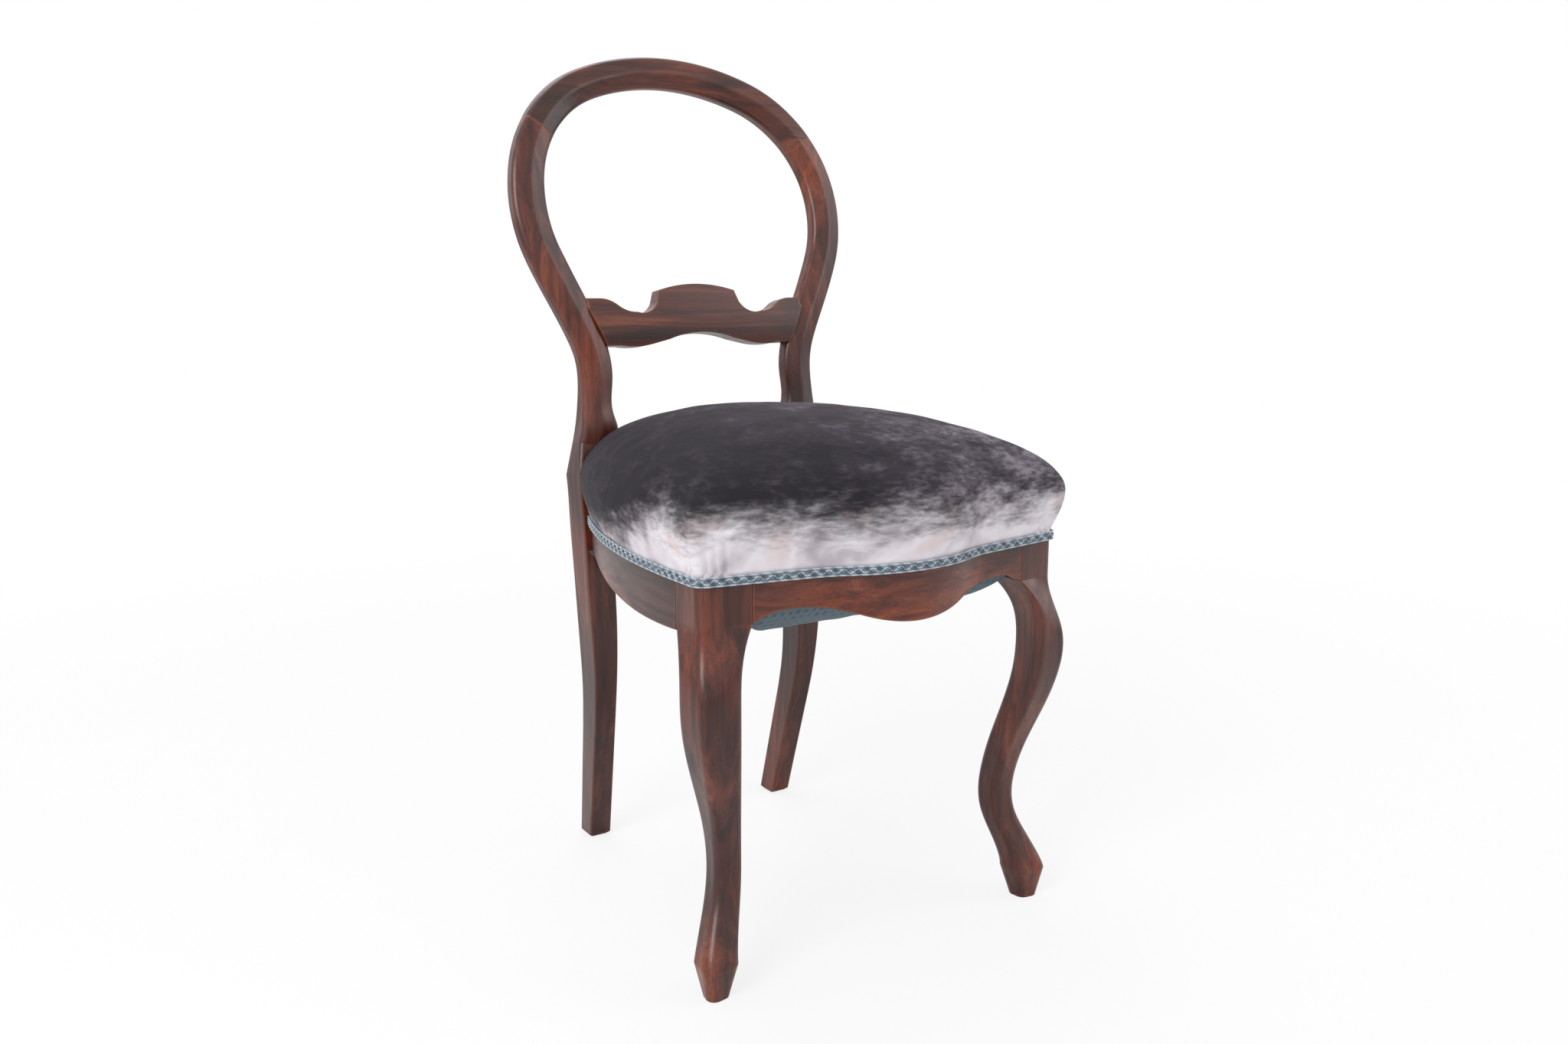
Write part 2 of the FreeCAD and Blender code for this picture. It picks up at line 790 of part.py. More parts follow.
def cabriole_sections():
    """Height, swing and size along the diagonal, size across it and corner rounding, from knee to toe."""
    rounding = size("leg_rounding")
    for share in (0.0, 0.17, 0.34, 0.5, 0.66, 0.83):
        blend = ease_share(share)
        yield (mix(size("knee_height"), size("ankle_height"), share),
               mix(size("knee_swing"), size("ankle_swing"), blend),
               mix(size("knee_along"), size("ankle_along"), blend),
               mix(size("knee_across"), size("ankle_across"), blend),
               rounding)
    for share in (0.0, 0.22, 0.44, 0.64, 0.82, 1.0):
        blend = ease_share(min(1.0, share * 0.86))
        flare = share * share
        yield (mix(size("ankle_height"), size("toe_height"), share),
               mix(size("ankle_swing"), 0.0, blend),
               mix(size("ankle_along"), size("toe_along"), flare),
               mix(size("ankle_across"), size("toe_across"), flare),
               mix(rounding, size("toe_rounding"), flare))


def diamond_ring(swing, along, across, radius):
    """Circles of a section whose corners point along and across the leg's diagonal."""
    outer = swing + along / 2 - radius
    inner = swing - along / 2 + radius
    b = across / 2 - radius
    return [(outer, 0.0, radius), (swing, b, radius), (inner, 0.0, radius), (swing, -b, radius)]


def throat_rings(side):
    """Height and circles of the sections in which the square block turns into the knee."""
    turn = math.radians(-45.0 if side > 0 else -135.0)
    knee = diamond_ring(size("knee_swing"), size("knee_along"), size("knee_across"), size("leg_rounding"))
    for share in (0.12, 0.28, 0.5, 0.75):
        cove = 1 - (1 - share) ** 3
        blends = (ease_share(share), cove, cove, cove)
        ring = []
        for (block_x, block_y, block_radius), (x, y, radius), blend in zip(block_ring(side), knee, blends):
            knee_x = side * size("front_foot_x") + x * math.cos(turn) - y * math.sin(turn)
            knee_y = size("front_foot_y") + x * math.sin(turn) + y * math.cos(turn)
            ring.append((mix(block_x, knee_x, blend), mix(block_y, knee_y, blend),
                         mix(block_radius, radius, blend)))
        yield mix(size("block_bottom"), size("knee_height"), share), ring


def front_leg(name, side):
    """Cabriole leg with its block, sawn from one square post."""
    body = new_body(name + "_blank")
    turn = Rotation(Vector(0, 0, 1), -45.0 if side > 0 else -135.0)
    low = Placement(Vector(0, 0, size("block_bottom")), Rotation())
    block = hull_section(body, name + "_block", block_ring(side), low)
    pad(body, name + "_block_pad", block, cell("rail_top") + " - " + cell("block_bottom"))
    sections = [hull_section(body, name + "_top", block_ring(side), low)]
    for i, (z, ring) in enumerate(throat_rings(side)):
        place = Placement(Vector(0, 0, z), Rotation())
        sections.append(hull_section(body, "%s_throat%d" % (name, i), ring, place))
    foot = Vector(side * size("front_foot_x"), size("front_foot_y"), 0)
    for i, (z, swing, along, across, radius) in enumerate(cabriole_sections()):
        ring = diamond_ring(swing, along, across, radius)
        place = Placement(foot + Vector(0, 0, z), turn)
        sections.append(hull_section(body, "%s_leg%d" % (name, i), ring, place))
    loft(body, name + "_leg", sections)
    ring = diamond_ring(0.0, size("foot_along"), size("foot_across"), size("leg_rounding"))
    sole = hull_section(body, name + "_sole", ring, Placement(foot, turn))
    loft(body, name + "_foot", [sections[-1], sole], ruled=True)
    return body


front_blanks = {side: front_leg("front_" + word, side) for side, word in SIDES}

# Seat rails

RAIL_TOP = size("rail_top")
TENON_LOW = (RAIL_TOP + size("webbing_level")) / 2 - size("seat_tenon_height") / 2 + 4.0
TENON_HIGH = TENON_LOW + size("seat_tenon_height")
DEEP = 60.0


def front_rail_plan():
    middle, bulge_end, run_start, reverse_middle = front_curve(0.0)
    joint = (BLOCK_IN, BLOCK_FRONT)
    inner = (BLOCK_IN, RAIL_INNER)
    return [
        arc(mirrored_x(bulge_end), middle, bulge_end),
        arc(bulge_end, reverse_middle, run_start),
        line(run_start, joint),
        line(joint, inner),
        line(inner, mirrored_x(inner)),
        line(mirrored_x(inner), mirrored_x(joint)),
        line(mirrored_x(joint), mirrored_x(run_start)),
        arc(mirrored_x(run_start), mirrored_x(reverse_middle), mirrored_x(bulge_end)),
    ]


def front_rail_elevation():
    """Front view of the apron: level top, low in the middle, risen near the legs."""
    end = (BLOCK_IN + 1.0, size("apron_end"))
    rise = (size("apron_rise_x"), size("apron_rise"))
    low = (0.0, size("apron_low"))
    turn = (rise[0] / 2, (rise[1] + low[1]) / 2)
    step = (rise[1] - low[1]) / 8
    high = ((rise[0] + turn[0]) / 2, rise[1] - step)
    sag = (turn[0] / 2, low[1] + step)
    knuckle = ((end[0] + rise[0]) / 2, rise[1] - (rise[1] - end[1]) * 0.2)
    top = (BLOCK_IN + 1.0, RAIL_TOP)
    right = [arc(low, sag, turn), arc(turn, high, rise), arc(rise, knuckle, end), line(end, top)]
    left = [line(mirrored_x(top), mirrored_x(end)),
            arc(mirrored_x(end), mirrored_x(knuckle), mirrored_x(rise)),
            arc(mirrored_x(rise), mirrored_x(high), mirrored_x(turn)),
            arc(mirrored_x(turn), mirrored_x(sag), low)]
    return right + [line(top, mirrored_x(top))] + left


def side_rail_plan(side, outer, inner, past=0.0):
    """Plan of a bowed strip between two offsets from the side face, from the block past the post's face."""
    ends = (BLOCK_BACK - past, POST_FRONT + size("scribe") + past)
    middle = (ends[0] + ends[1]) / 2

    def at(y, offset):
        return (side * side_x(y, offset), y)

    return [
        arc(at(ends[0], outer), at(middle, outer), at(ends[1], outer)),
        line(at(ends[1], outer), at(ends[1], inner)),
        arc(at(ends[1], inner), at(middle, inner), at(ends[0], inner)),
        line(at(ends[0], inner), at(ends[0], outer)),
    ]


def side_rail_elevation():
    """Side view of a side rail: low in front, rising to the rear leg."""
    front = (BLOCK_BACK - 1.0, size("side_low") + 2.0)
    low = (size("side_low_y"), size("side_low"))
    rear = (POST_FRONT + 2 * size("scribe"), size("side_rear_z"))
    middle = ((low[0] + rear[0]) / 2, low[1] + (rear[1] - low[1]) / 4)
    return [
        arc(front, ((front[0] + low[0]) / 2, size("side_low") + 0.5), low),
        arc(low, middle, rear),
        line(rear, (rear[0], RAIL_TOP)),
        line((rear[0], RAIL_TOP), (front[0], RAIL_TOP)),
        line((front[0], RAIL_TOP), front),
    ]


def elevation_body(name, edges, role, length):
    body = new_body(name)
    pad(body, name + "_prism", outline_sketch(body, name + "_outline", edges, role), length, midplane=True)
    return body


half_tenon = size("tenon_thick") / 2


def front_tenon(side, gap):
    ends = sorted((side * (BLOCK_IN - 6.0), side * (BLOCK_IN + size("seat_tenon_length"))))
    middle = (BLOCK_FRONT + RAIL_INNER) / 2
    return grown_box("front_tenon", (ends[0], middle - half_tenon, TENON_LOW),
                     (ends[1], middle + half_tenon, TENON_HIGH), gap)


def side_front_tenon(side, gap):
    middle = side * (BLOCK_OUT - size("rail_thick") / 2)
    return grown_box("side_front_tenon", (middle - half_tenon, BLOCK_BACK - size("seat_tenon_length"), TENON_LOW),
                     (middle + half_tenon, BLOCK_BACK + 6.0, TENON_HIGH), gap)


def side_rear_tenon(side, gap):
    middle = side * (size("side_rear_x") - size("rail_thick") / 2 + 2.0)
    return grown_box("side_rear_tenon", (middle - half_tenon, POST_FRONT - 6.0, TENON_LOW),
                     (middle + half_tenon, size("back_rail_y") - half_tenon - 2.0, TENON_HIGH), gap)


def back_tenon(side, gap):
    inner = rear_outer(RAIL_TOP) - size("rear_seat_width")
    ends = sorted((side * (inner - 8.0), side * (inner + size("seat_tenon_length"))))
    return grown_box("back_tenon", (ends[0], size("back_rail_y") - half_tenon, TENON_LOW),
                     (ends[1], size("back_rail_y") + half_tenon, TENON_HIGH), gap)


WEB_TOP = size("webbing_level")
WEB_LOW = WEB_TOP - size("web_thick")
LIP = size("rebate_lip")

front_raw = common("front_rail_raw", slab("front_rail_plan", front_rail_plan(), WEB_TOP - DEEP, RAIL_TOP),
                   elevation_body("front_rail_front", front_rail_elevation(), "XZ_Plane", 4 * BLOCK_OUT))
front_rebate = box("front_rebate", (-BLOCK_IN - 1, RAIL_INNER - size("rail_thick") + LIP, WEB_TOP - DEEP),
                   (BLOCK_IN + 1, RAIL_INNER + 1, WEB_TOP))
back_raw = box("back_rail_raw", (-post_x(MID), BACK_INNER, WEB_TOP - 10.0), (post_x(MID), BACK_OUTER, RAIL_TOP))
back_rebate = box("back_rebate", (-post_x(MID) - 1, BACK_INNER - 1, WEB_TOP - DEEP),
                  (post_x(MID) + 1, BACK_OUTER - LIP, WEB_TOP))
side_raw = {}
for side, word in SIDES:
    plan = slab("side_plan_" + word, side_rail_plan(side, 0.0, -size("rail_thick")), WEB_TOP - DEEP, RAIL_TOP)
    view = elevation_body("side_view_" + word, side_rail_elevation(), "YZ_Plane", 4 * BLOCK_OUT)
    inner_plan = side_rail_plan(side, -LIP, -size("rail_thick") - 2.0, 2.0)
    rebate = slab("side_rebate_" + word, inner_plan, WEB_TOP - DEEP, WEB_LOW)
    shaped = common("side_shaped_" + word, plan, view)
    side_raw[side] = cut("side_raw_" + word, shaped, [rebate, legs_below[side]])

# Corner blocks and their screws

def front_corner_plan(side):
    gap = size("glue_gap")
    reach = size("corner_reach")
    inside = BLOCK_OUT - size("rail_thick") + 2.0
    points = [(BLOCK_IN - reach, RAIL_INNER + gap), (BLOCK_IN - gap, RAIL_INNER + gap),
              (BLOCK_IN - gap, BLOCK_BACK + gap), (inside, BLOCK_BACK + gap), (inside, BLOCK_BACK + reach)]
    return closed(points, side)


def rear_corner_plan(side):
    gap = size("glue_gap")
    reach = size("corner_reach") + 8.0
    inner = rear_outer(size("corner_level")) - size("rear_seat_width")
    points = [(inner - reach, BACK_INNER - gap), (inner - 1.5, BACK_INNER - gap), (inner - 1.5, POST_FRONT - gap),
              (inner + 12.0, POST_FRONT - gap), (side_x(POST_FRONT - reach) - size("rail_thick") + 4.0, POST_FRONT - reach)]
    return closed(points, side)


def closed(points, side=1):
    """Closed outline of straight lines, mirrored for the left."""
    points = [(side * p[0], p[1]) for p in points]
    return [line(points[i], points[(i + 1) % len(points)]) for i in range(len(points))]


def screw(start, direction, gap):
    """Countersunk screw driven from a point, or its hole and counterbore with a gap."""
    head = size("screw_head") + 2 * gap
    neck = start + direction * 3.0
    tip = start + direction * (size("screw_length") + gap)
    outside = start - direction * (0.0 if gap == 0 else 30.0)
    return fuse("screw", [rod("screw_top", outside, neck, head),
                          rod("screw_shank", start, tip, size("screw_diameter") + 2 * gap)])


def block_screws(gap):
    """Two screws in each corner block: one into each rail."""
    middle = size("corner_level") + size("corner_height") / 2
    front_face = RAIL_INNER + 20.0
    side_face = BLOCK_OUT - size("rail_thick") - 18.0
    rear_face = BACK_INNER - 13.0
    rear_side = POST_FRONT - 27.0
    screws = []
    for side, word in SIDES:
        screws.append(screw(Vector(side * (BLOCK_IN - 18.0), front_face, middle), Vector(0, -1, 0), gap))
        screws.append(screw(Vector(side * side_face, BLOCK_BACK + 17.0, middle), Vector(side, 0, 0), gap))
        screws.append(screw(Vector(side * 98.0, rear_face, middle), Vector(0, 1, 0), gap))
        screws.append(screw(Vector(side * (side_x(rear_side) - size("rail_thick") - 10.0), rear_side, middle),
                            Vector(side, 0, 0), gap))
    return screws


screws = group("screws", block_screws(0.0))
screw_holes = group("screw_holes", block_screws(size("fit_gap")))
keep("corner_block_screws", screws)
level = size("corner_level")
for side, word in SIDES:
    blank = slab("front_corner_" + word, front_corner_plan(side), level, level + size("corner_height"))
    keep("corner_block_front_" + word, cut("corner_front_" + word, blank, [side_raw[side], screw_holes]))
    blank = slab("rear_corner_" + word, rear_corner_plan(side), level, level + size("corner_height"))
    keep("corner_block_rear_" + word, cut("corner_rear_" + word, blank,
                                          [side_raw[side], legs_below[side], screw_holes]))

# Webbing, tacked into the rebates under the rails

WEB_ENDS = (RAIL_INNER - size("rail_thick") + LIP + 1.0, BACK_OUTER - LIP - 1.0)


def tack(x, y, under, gap):
    """Tack driven up through cloth whose underside is at a height, or its hole with a gap."""
    shank = rod("tack_shank", Vector(x, y, under - 0.4), Vector(x, y, under + size("tack_length") + gap),
                size("tack_shank") + 2 * gap)
    if gap > 0:
        return shank
    head = rod("tack_head", Vector(x, y, under - 0.9), Vector(x, y, under), size("tack_head"))
    return fuse("tack", [head, shank])


strap_half = size("web_width") / 2
long_straps = []
web_tacks = []
for i in (-1, 0, 1):
    x = i * size("web_pitch")
    long_straps.append(box("strap_long", (x - strap_half, WEB_ENDS[0], WEB_LOW),
                           (x + strap_half, WEB_ENDS[1], WEB_TOP)))
    for y in (WEB_ENDS[0] + 6.0, WEB_ENDS[1] - 5.0):
        for shift in (-0.35, 0.0, 0.35):
            web_tacks.append((x + shift * size("web_width"), y, WEB_LOW))
cross_straps = []
for i in (-1, 0, 1):
    y = size("seat_middle_y") + 2.0 + i * size("web_pitch")
    end = side_x(y + strap_half, -LIP) - 1.5
    cross_straps.append(box("strap_cross", (-end, y - strap_half, WEB_LOW - size("web_thick")),
                            (end, y + strap_half, WEB_LOW)))
    for side in (-1, 1):
        for shift in (-0.35, 0.0, 0.35):
            web_tacks.append((side * (end - 5.0), y + shift * size("web_width"), WEB_LOW - size("web_thick")))
keep("webbing_tacks", group("web_tacks", [tack(x, y, z, 0.0) for x, y, z in web_tacks]))
web_holes = group("web_holes", [tack(x, y, z, 0.05) for x, y, z in web_tacks])
keep("webbing_front_to_back", cut("straps_long", group("long_straps", long_straps), [web_holes]))
keep("webbing_side_to_side", cut("straps_cross", group("cross_straps", cross_straps), [web_holes]))

# Finished frame pieces

gap = size("fit_gap")
front_rebated = cut("front_rail_rebated", front_raw, [front_rebate])
front_tenoned = fuse("front_rail_tenoned", [front_rebated, front_tenon(-1, 0.0), front_tenon(1, 0.0)])
keep("front_seat_rail", cut("front_rail", front_tenoned,
                            [screw_holes, web_holes]))
back_shape = cut("back_rail_scribed", back_raw, [back_rebate, legs_below[-1], legs_below[1]])
back_tenoned = fuse("back_rail_tenoned", [back_shape, back_tenon(-1, 0.0), back_tenon(1, 0.0)])
keep("back_seat_rail", cut("back_rail", back_tenoned,
                           [screw_holes, web_holes]))
for side, word in SIDES:
    tenoned = fuse("side_rail_tenoned_" + word,
                   [side_raw[side], side_front_tenon(side, 0.0), side_rear_tenon(side, 0.0)])
    keep("side_seat_rail_" + word, cut("side_rail_" + word, tenoned, [screw_holes, web_holes]))
    keep("front_leg_" + word, cut("front_leg_" + word, front_blanks[side],
                                  [front_tenon(side, gap), side_front_tenon(side, gap)]))
    plank = fuse("rear_plank_" + word, [legs_below[side], posts_above[side]])
    keep("rear_leg_" + word, cut("rear_leg_" + word, plank,
                                 [mid_tenon(side, gap), side_rear_tenon(side, gap),
                                  back_tenon(side, gap), dowel_holes]))

# Coil springs on the webbing, and the twine that lashes them

SPRING_TOP = WEB_TOP + size("spring_height")
RINGS_PER_TURN = 12
wire = size("spring_wire")


def spring_coil(name, foot):
    """Spring of ruled lofts, one a turn, through circles of its wire set along an upright helix."""
    steps = round(size("spring_turns") * RINGS_PER_TURN)
    radius = size("spring_radius")
    rise = (size("spring_height") - wire) / steps
    rings = []
    for i in range(steps + 1):
        angle = 2 * math.pi * i / RINGS_PER_TURN
        out = Vector(math.cos(angle), math.sin(angle), 0)
        run = 2 * math.pi * radius / RINGS_PER_TURN
        along = Vector(-out.y * run, out.x * run, rise)
        ring = Part.Wire([Part.makeCircle(wire / 2)])
        ring.Placement = Placement(out * radius + Vector(0, 0, rise * i), Rotation(out, Vector(), along, "ZXY"))
        rings.append(ring)
    coil = doc.addObject("Part::Feature", name)
    turns = [Part.makeLoft(rings[i:i + RINGS_PER_TURN + 1], True, True) for i in range(0, steps, RINGS_PER_TURN)]
    coil.Shape = turns[0].multiFuse(turns[1:])
    coil.Placement = Placement(foot, Rotation())
    return coil


for y, row_word in ((size("spring_front_y"), "front"), (size("spring_rear_y"), "rear")):
    for side, word in SIDES:
        name = "spring_%s_%s" % (row_word, word)
        foot = Vector(side * size("spring_x"), y, WEB_TOP + wire / 2 + size("glue_gap"))
        keep(name, spring_coil(name, foot))


def cord(points):
    """Taut cord through points."""
    runs = [rod("cord_run", points[i], points[i + 1], size("twine")) for i in range(len(points) - 1)]
    return fuse("cord", runs)


lift = size("twine") / 2 + size("glue_gap")
cord_low = SPRING_TOP + lift
cord_high = cord_low + 2 * lift
rest = RAIL_TOP + lift
cords = []
for side, word in SIDES:
    x = side * size("spring_x")
    reach = size("spring_radius") + 6.0
    cords.append(cord([Vector(x, RAIL_INNER - 8.0, rest), Vector(x, size("spring_front_y") - reach, cord_low),
                       Vector(x, size("spring_rear_y") + reach, cord_low), Vector(x, BACK_INNER + 6.0, rest)]))
for y in (size("spring_front_y"), size("spring_rear_y")):
    edge_x = side_x(y) - size("rail_thick") + 6.0
    reach = size("spring_x") + size("spring_radius") + 4.0
    cords.append(cord([Vector(-edge_x, y, rest), Vector(-reach, y, cord_high), Vector(reach, y, cord_high),
                       Vector(edge_x, y, rest)]))
keep("lashing_twine", group("twine", cords))

# Upholstery: level sections of the seat's plan, scaled about its middle

def seat_loft(name, levels, offset):
    """Solid through level copies of the seat's plan at (scale, height)."""
    body = new_body(name)
    sections = []
    for i, (scale, z) in enumerate(levels):
        back = size("crown_shift") * max(0.0, 1 - scale)
        sections.append(outline_sketch(body, "%s_level%d" % (name, i), seat_outline(offset, scale),
                                       place=Placement(Vector(0, back, z), Rotation())))
    loft(body, name + "_loft", sections)
    return body


def crown_levels(drop):
    """Sections of the crowned seat from the top of the braid to the crown, lowered by a drop."""
    start = size("cover_bottom") + size("braid_height")
    bulge = size("bulge_height")
    widest = size("bulge_scale")
    levels = [(1.0, start), (mix(1.0, widest, 0.62), mix(start, bulge, 0.4)), (widest, bulge)]
    for share in (0.985, 0.95, 0.9, 0.82, 0.7, 0.55, 0.38, 0.22, 0.1):
        rise = (1 - share ** size("crown_power")) ** (1 / size("crown_root"))
        levels.append((widest * share, bulge + (size("crown_height") - bulge) * rise - drop * rise ** 0.5))
    return levels


SKIRT_TOP = size("cover_bottom") + size("braid_height")
COVER_IN = size("cloth_gap")
COVER_OUT = COVER_IN + size("cover_thick")
crown_outer = seat_loft("crown_outer", crown_levels(0.0), COVER_OUT)
crown_inner = seat_loft("crown_inner", crown_levels(size("cover_thick")), COVER_IN)
skirt_outer = slab("skirt_outer", seat_outline(COVER_OUT), size("cover_bottom"), SKIRT_TOP)
skirt_inner = slab("skirt_inner", seat_outline(COVER_IN), size("cover_bottom") - 1.0, SKIRT_TOP + 0.01)
frame_space = slab("frame_space", seat_outline(COVER_IN), size("cover_bottom") - 1.0, RAIL_TOP + COVER_IN)



def post_space(name, side):
    """Room that the seat leaves round a leg and the foot of its post, open to the side and the back."""
    body = new_body(name)
    joint = size("seat_joint_height")
    room = size("post_room")
    low = size("cover_bottom") - DEEP
    levels = [
        (low, rear_outer(low) - size("rear_seat_width"), POST_FRONT),
        (joint, rear_outer(joint) - size("rear_seat_width"), POST_FRONT),
    ]
    for share in (0.0, 0.25, 0.5, 1.0):
        x, z, depth = neck_station(share)
        half = size("band_waist") / 2 / math.cos(math.radians(size("neck_lean") * (1 - share)))
        levels.append((z, x - half, back_y(z) - depth / 2))
    sections = []
    for i, (z, inner, front) in enumerate(levels):
        outer = BLOCK_OUT + DEEP
        back = POST_BACK + DEEP
        points = [(inner - room, front - room), (outer, front - room), (outer, back), (inner - room, back)]
        sections.append(outline_sketch(body, "%s_level%d" % (name, i), closed(points, side),
                                       place=Placement(Vector(0, 0, z), Rotation())))
    loft(body, name + "_loft", sections, ruled=True)
    return body


posts = [post_space("post_space_" + word, side) for side, word in SIDES]


def hessian_levels(drop):
    top = size("hessian_top") - drop
    low = RAIL_TOP + size("glue_gap") - drop
    return [(0.96, low), (0.92, mix(low, top, 0.12)), (0.85, mix(low, top, 0.62)), (0.76, mix(low, top, 0.94)),
            (0.66, top)]


hessian_outer = seat_loft("hessian_outer", hessian_levels(0.0), 0.0)
hessian_inner = seat_loft("hessian_inner", hessian_levels(size("hessian_thick")), -size("hessian_thick"))
keep("hessian", cut("hessian", hessian_outer, [hessian_inner] + posts))
keep("seat_stuffing", cut("stuffing", crown_inner, [frame_space, hessian_outer] + posts))
cover_crown = cut("cover_crown", crown_outer, [crown_inner])
cover_skirt = cut("cover_skirt", skirt_outer, [skirt_inner])
cover = fuse("cover", [cover_crown, cover_skirt])
keep("velvet_cover", cut("velvet", cover, posts))

# Braid over the cover's tacked edge

BRAID_IN = COVER_OUT + size("glue_gap")
BRAID_OUT = BRAID_IN + size("braid_thick")
braid_low = size("cover_bottom") - 1.5
braid = cut("braid_ring", slab("braid_outer", seat_outline(BRAID_OUT), braid_low, braid_low + size("braid_height")),
            [slab("braid_inner", seat_outline(BRAID_IN), braid_low - 1.0, SKIRT_TOP + 1.0)] + posts)
middle_plane = (POST_FRONT + POST_BACK) / 2
back_half = box("braid_back_half", (-2 * BLOCK_OUT, middle_plane, 0.0), (2 * BLOCK_OUT, 3 * POST_BACK, RAIL_TOP))
keep("gimp_braid_front", cut("braid_front", braid, [back_half]))
keep("gimp_braid_back", common("braid_back", braid, back_half))

# Dust cover, tacked under the webbing and hanging in a belly

def dust_plan(scale):
    """Plan inside the rail lips, notched round the blocks and posts, scaled about the seat's middle."""
    gap = 1.0
    front = RAIL_INNER - size("rail_thick") + LIP + gap
    back = BACK_OUTER - LIP - gap
    post_in = rear_outer(WEB_TOP) - size("rear_seat_width") - 2.5
    sides = [(BLOCK_IN - gap, front), (BLOCK_IN - gap, BLOCK_BACK + gap),
             (side_x(BLOCK_BACK, -LIP) - gap, BLOCK_BACK + gap)]
    for share in (0.33, 0.66):
        y = mix(BLOCK_BACK, POST_FRONT, share)
        sides.append((side_x(y, -LIP) - gap, y))
    sides += [(side_x(POST_FRONT - 3.0, -LIP) - gap, POST_FRONT - 3.0),
              (post_in, POST_FRONT - 3.0), (post_in, back)]
    points = sides + [mirrored_x(p) for p in reversed(sides)]
    centre = size("seat_middle_y")
    return closed([(p[0] * scale, centre + (p[1] - centre) * scale) for p in points])


def dust_loft(name, rise, inset):
    body = new_body(name)
    top = WEB_LOW - size("web_thick") - 1.2 + rise
    sections = []
    for i, (scale, share) in enumerate(((1.0, 0.0), (0.9, 0.42), (0.75, 0.72), (0.55, 0.91), (0.3, 1.0))):
        sections.append(outline_sketch(body, "%s_level%d" % (name, i), dust_plan(scale - inset),
                                       place=Placement(Vector(0, 0, top - size("dust_sag") * share), Rotation())))
    loft(body, name + "_loft", sections, ruled=True)
    return body


dust_outer = dust_loft("dust_outer", 0.0, 0.0)
dust_inner = dust_loft("dust_inner", size("dust_thick"), 0.003)
keep("dust_cover", cut("dust_cover", dust_outer, [dust_inner]))

# Put the part's origin under the middle of the chair's outline

for obj in PARTS.values():
    obj.Placement = Placement(Vector(0, size("middle_shift"), 0), Rotation()).multiply(obj.Placement)

# Check every piece, then write it

doc.recompute()
for obj in doc.Objects:
    if "Invalid" in obj.State or "Error" in obj.State:
        raise RuntimeError("%s failed: %s" % (obj.Label, obj.State))
for label, obj in PARTS.items():
    if obj.Shape.isNull() or not obj.Shape.isValid():
        raise RuntimeError("bad shape: " + label)
    print("%-26s %2d solids %10.0f mm3" % (label, len(obj.Shape.Solids), obj.Shape.Volume))
os.makedirs("parts", exist_ok=True)
for label, obj in PARTS.items():
    obj.Shape.exportStep("parts/%s.step" % label)
whole = Part.makeCompound([obj.Shape for obj in PARTS.values()])
print("box", whole.BoundBox)
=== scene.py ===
import logging
import math
from dataclasses import dataclass
from enum import Enum

import bpy
from mathutils import Matrix, Vector, noise


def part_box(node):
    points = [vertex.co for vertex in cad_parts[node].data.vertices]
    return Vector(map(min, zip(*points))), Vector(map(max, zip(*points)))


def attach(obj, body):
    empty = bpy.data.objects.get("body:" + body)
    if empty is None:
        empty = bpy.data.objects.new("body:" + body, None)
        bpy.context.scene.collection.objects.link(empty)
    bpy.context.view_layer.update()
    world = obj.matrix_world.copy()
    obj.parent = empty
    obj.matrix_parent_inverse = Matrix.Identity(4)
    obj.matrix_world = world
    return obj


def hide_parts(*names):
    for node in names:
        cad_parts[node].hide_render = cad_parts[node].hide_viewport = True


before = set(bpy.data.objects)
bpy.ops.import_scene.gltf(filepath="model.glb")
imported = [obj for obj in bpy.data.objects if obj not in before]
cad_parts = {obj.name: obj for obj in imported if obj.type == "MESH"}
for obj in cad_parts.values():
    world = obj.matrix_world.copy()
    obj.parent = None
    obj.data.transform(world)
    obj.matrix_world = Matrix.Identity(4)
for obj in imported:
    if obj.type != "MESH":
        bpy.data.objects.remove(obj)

LOG = logging.getLogger("balloon_back_chair")
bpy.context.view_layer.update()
MM = 0.001
BODY = "root"
# Depth of the seat's own datum, read from the frame: the front rail's back face lies 190 mm in front of it
DATUM_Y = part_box("front_seat_rail")[1][1] + 0.190

Point = tuple[float, float]
Path = list[Vector]


# Small helpers for colours and nodes

def linear(hex_colour: str) -> tuple[float, float, float, float]:
    """Turn an sRGB hex colour into Blender's linear colour.

    Args:
        hex_colour: six hex digits, such as "5b3028".

    Returns:
        Linear red, green, blue and an alpha of 1.
    """
    channels = []
    for i in (0, 2, 4):
        value = int(hex_colour[i:i + 2], 16) / 255
        channels.append(value / 12.92 if value <= 0.04045 else ((value + 0.055) / 1.055) ** 2.4)
    return (channels[0], channels[1], channels[2], 1.0)


def add_node(tree: bpy.types.NodeTree, kind: str, inputs: dict | None = None,
             stops: list[tuple[float, str]] | None = None, blend: str = "EASE",
             **settings: object) -> bpy.types.Node:
    """Add a node to a material with its settings and links.

    Args:
        tree: node tree of the material.
        kind: Blender's name of the node type.
        inputs: socket name or number to a value, or to a pair of node and output name.
        stops: position and hex colour of each stop, for a node with a colour ramp.
        blend: how the ramp's colours blend.
        settings: attributes of the node.

    Returns:
        The new node.
    """
    node = tree.nodes.new(kind)
    for name, value in settings.items():
        setattr(node, name, value)
    for key, value in (inputs or {}).items():
        if isinstance(value, tuple) and isinstance(value[0], bpy.types.Node):
            tree.links.new(value[0].outputs[value[1]], node.inputs[key])
        else:
            node.inputs[key].default_value = value
    if stops:
        ramp = node.color_ramp
        ramp.interpolation = blend
        while len(ramp.elements) < len(stops):
            ramp.elements.new(0.5)
        for element, (position, colour) in zip(ramp.elements, stops):
            element.position = position
            element.color = linear(colour)
    return node


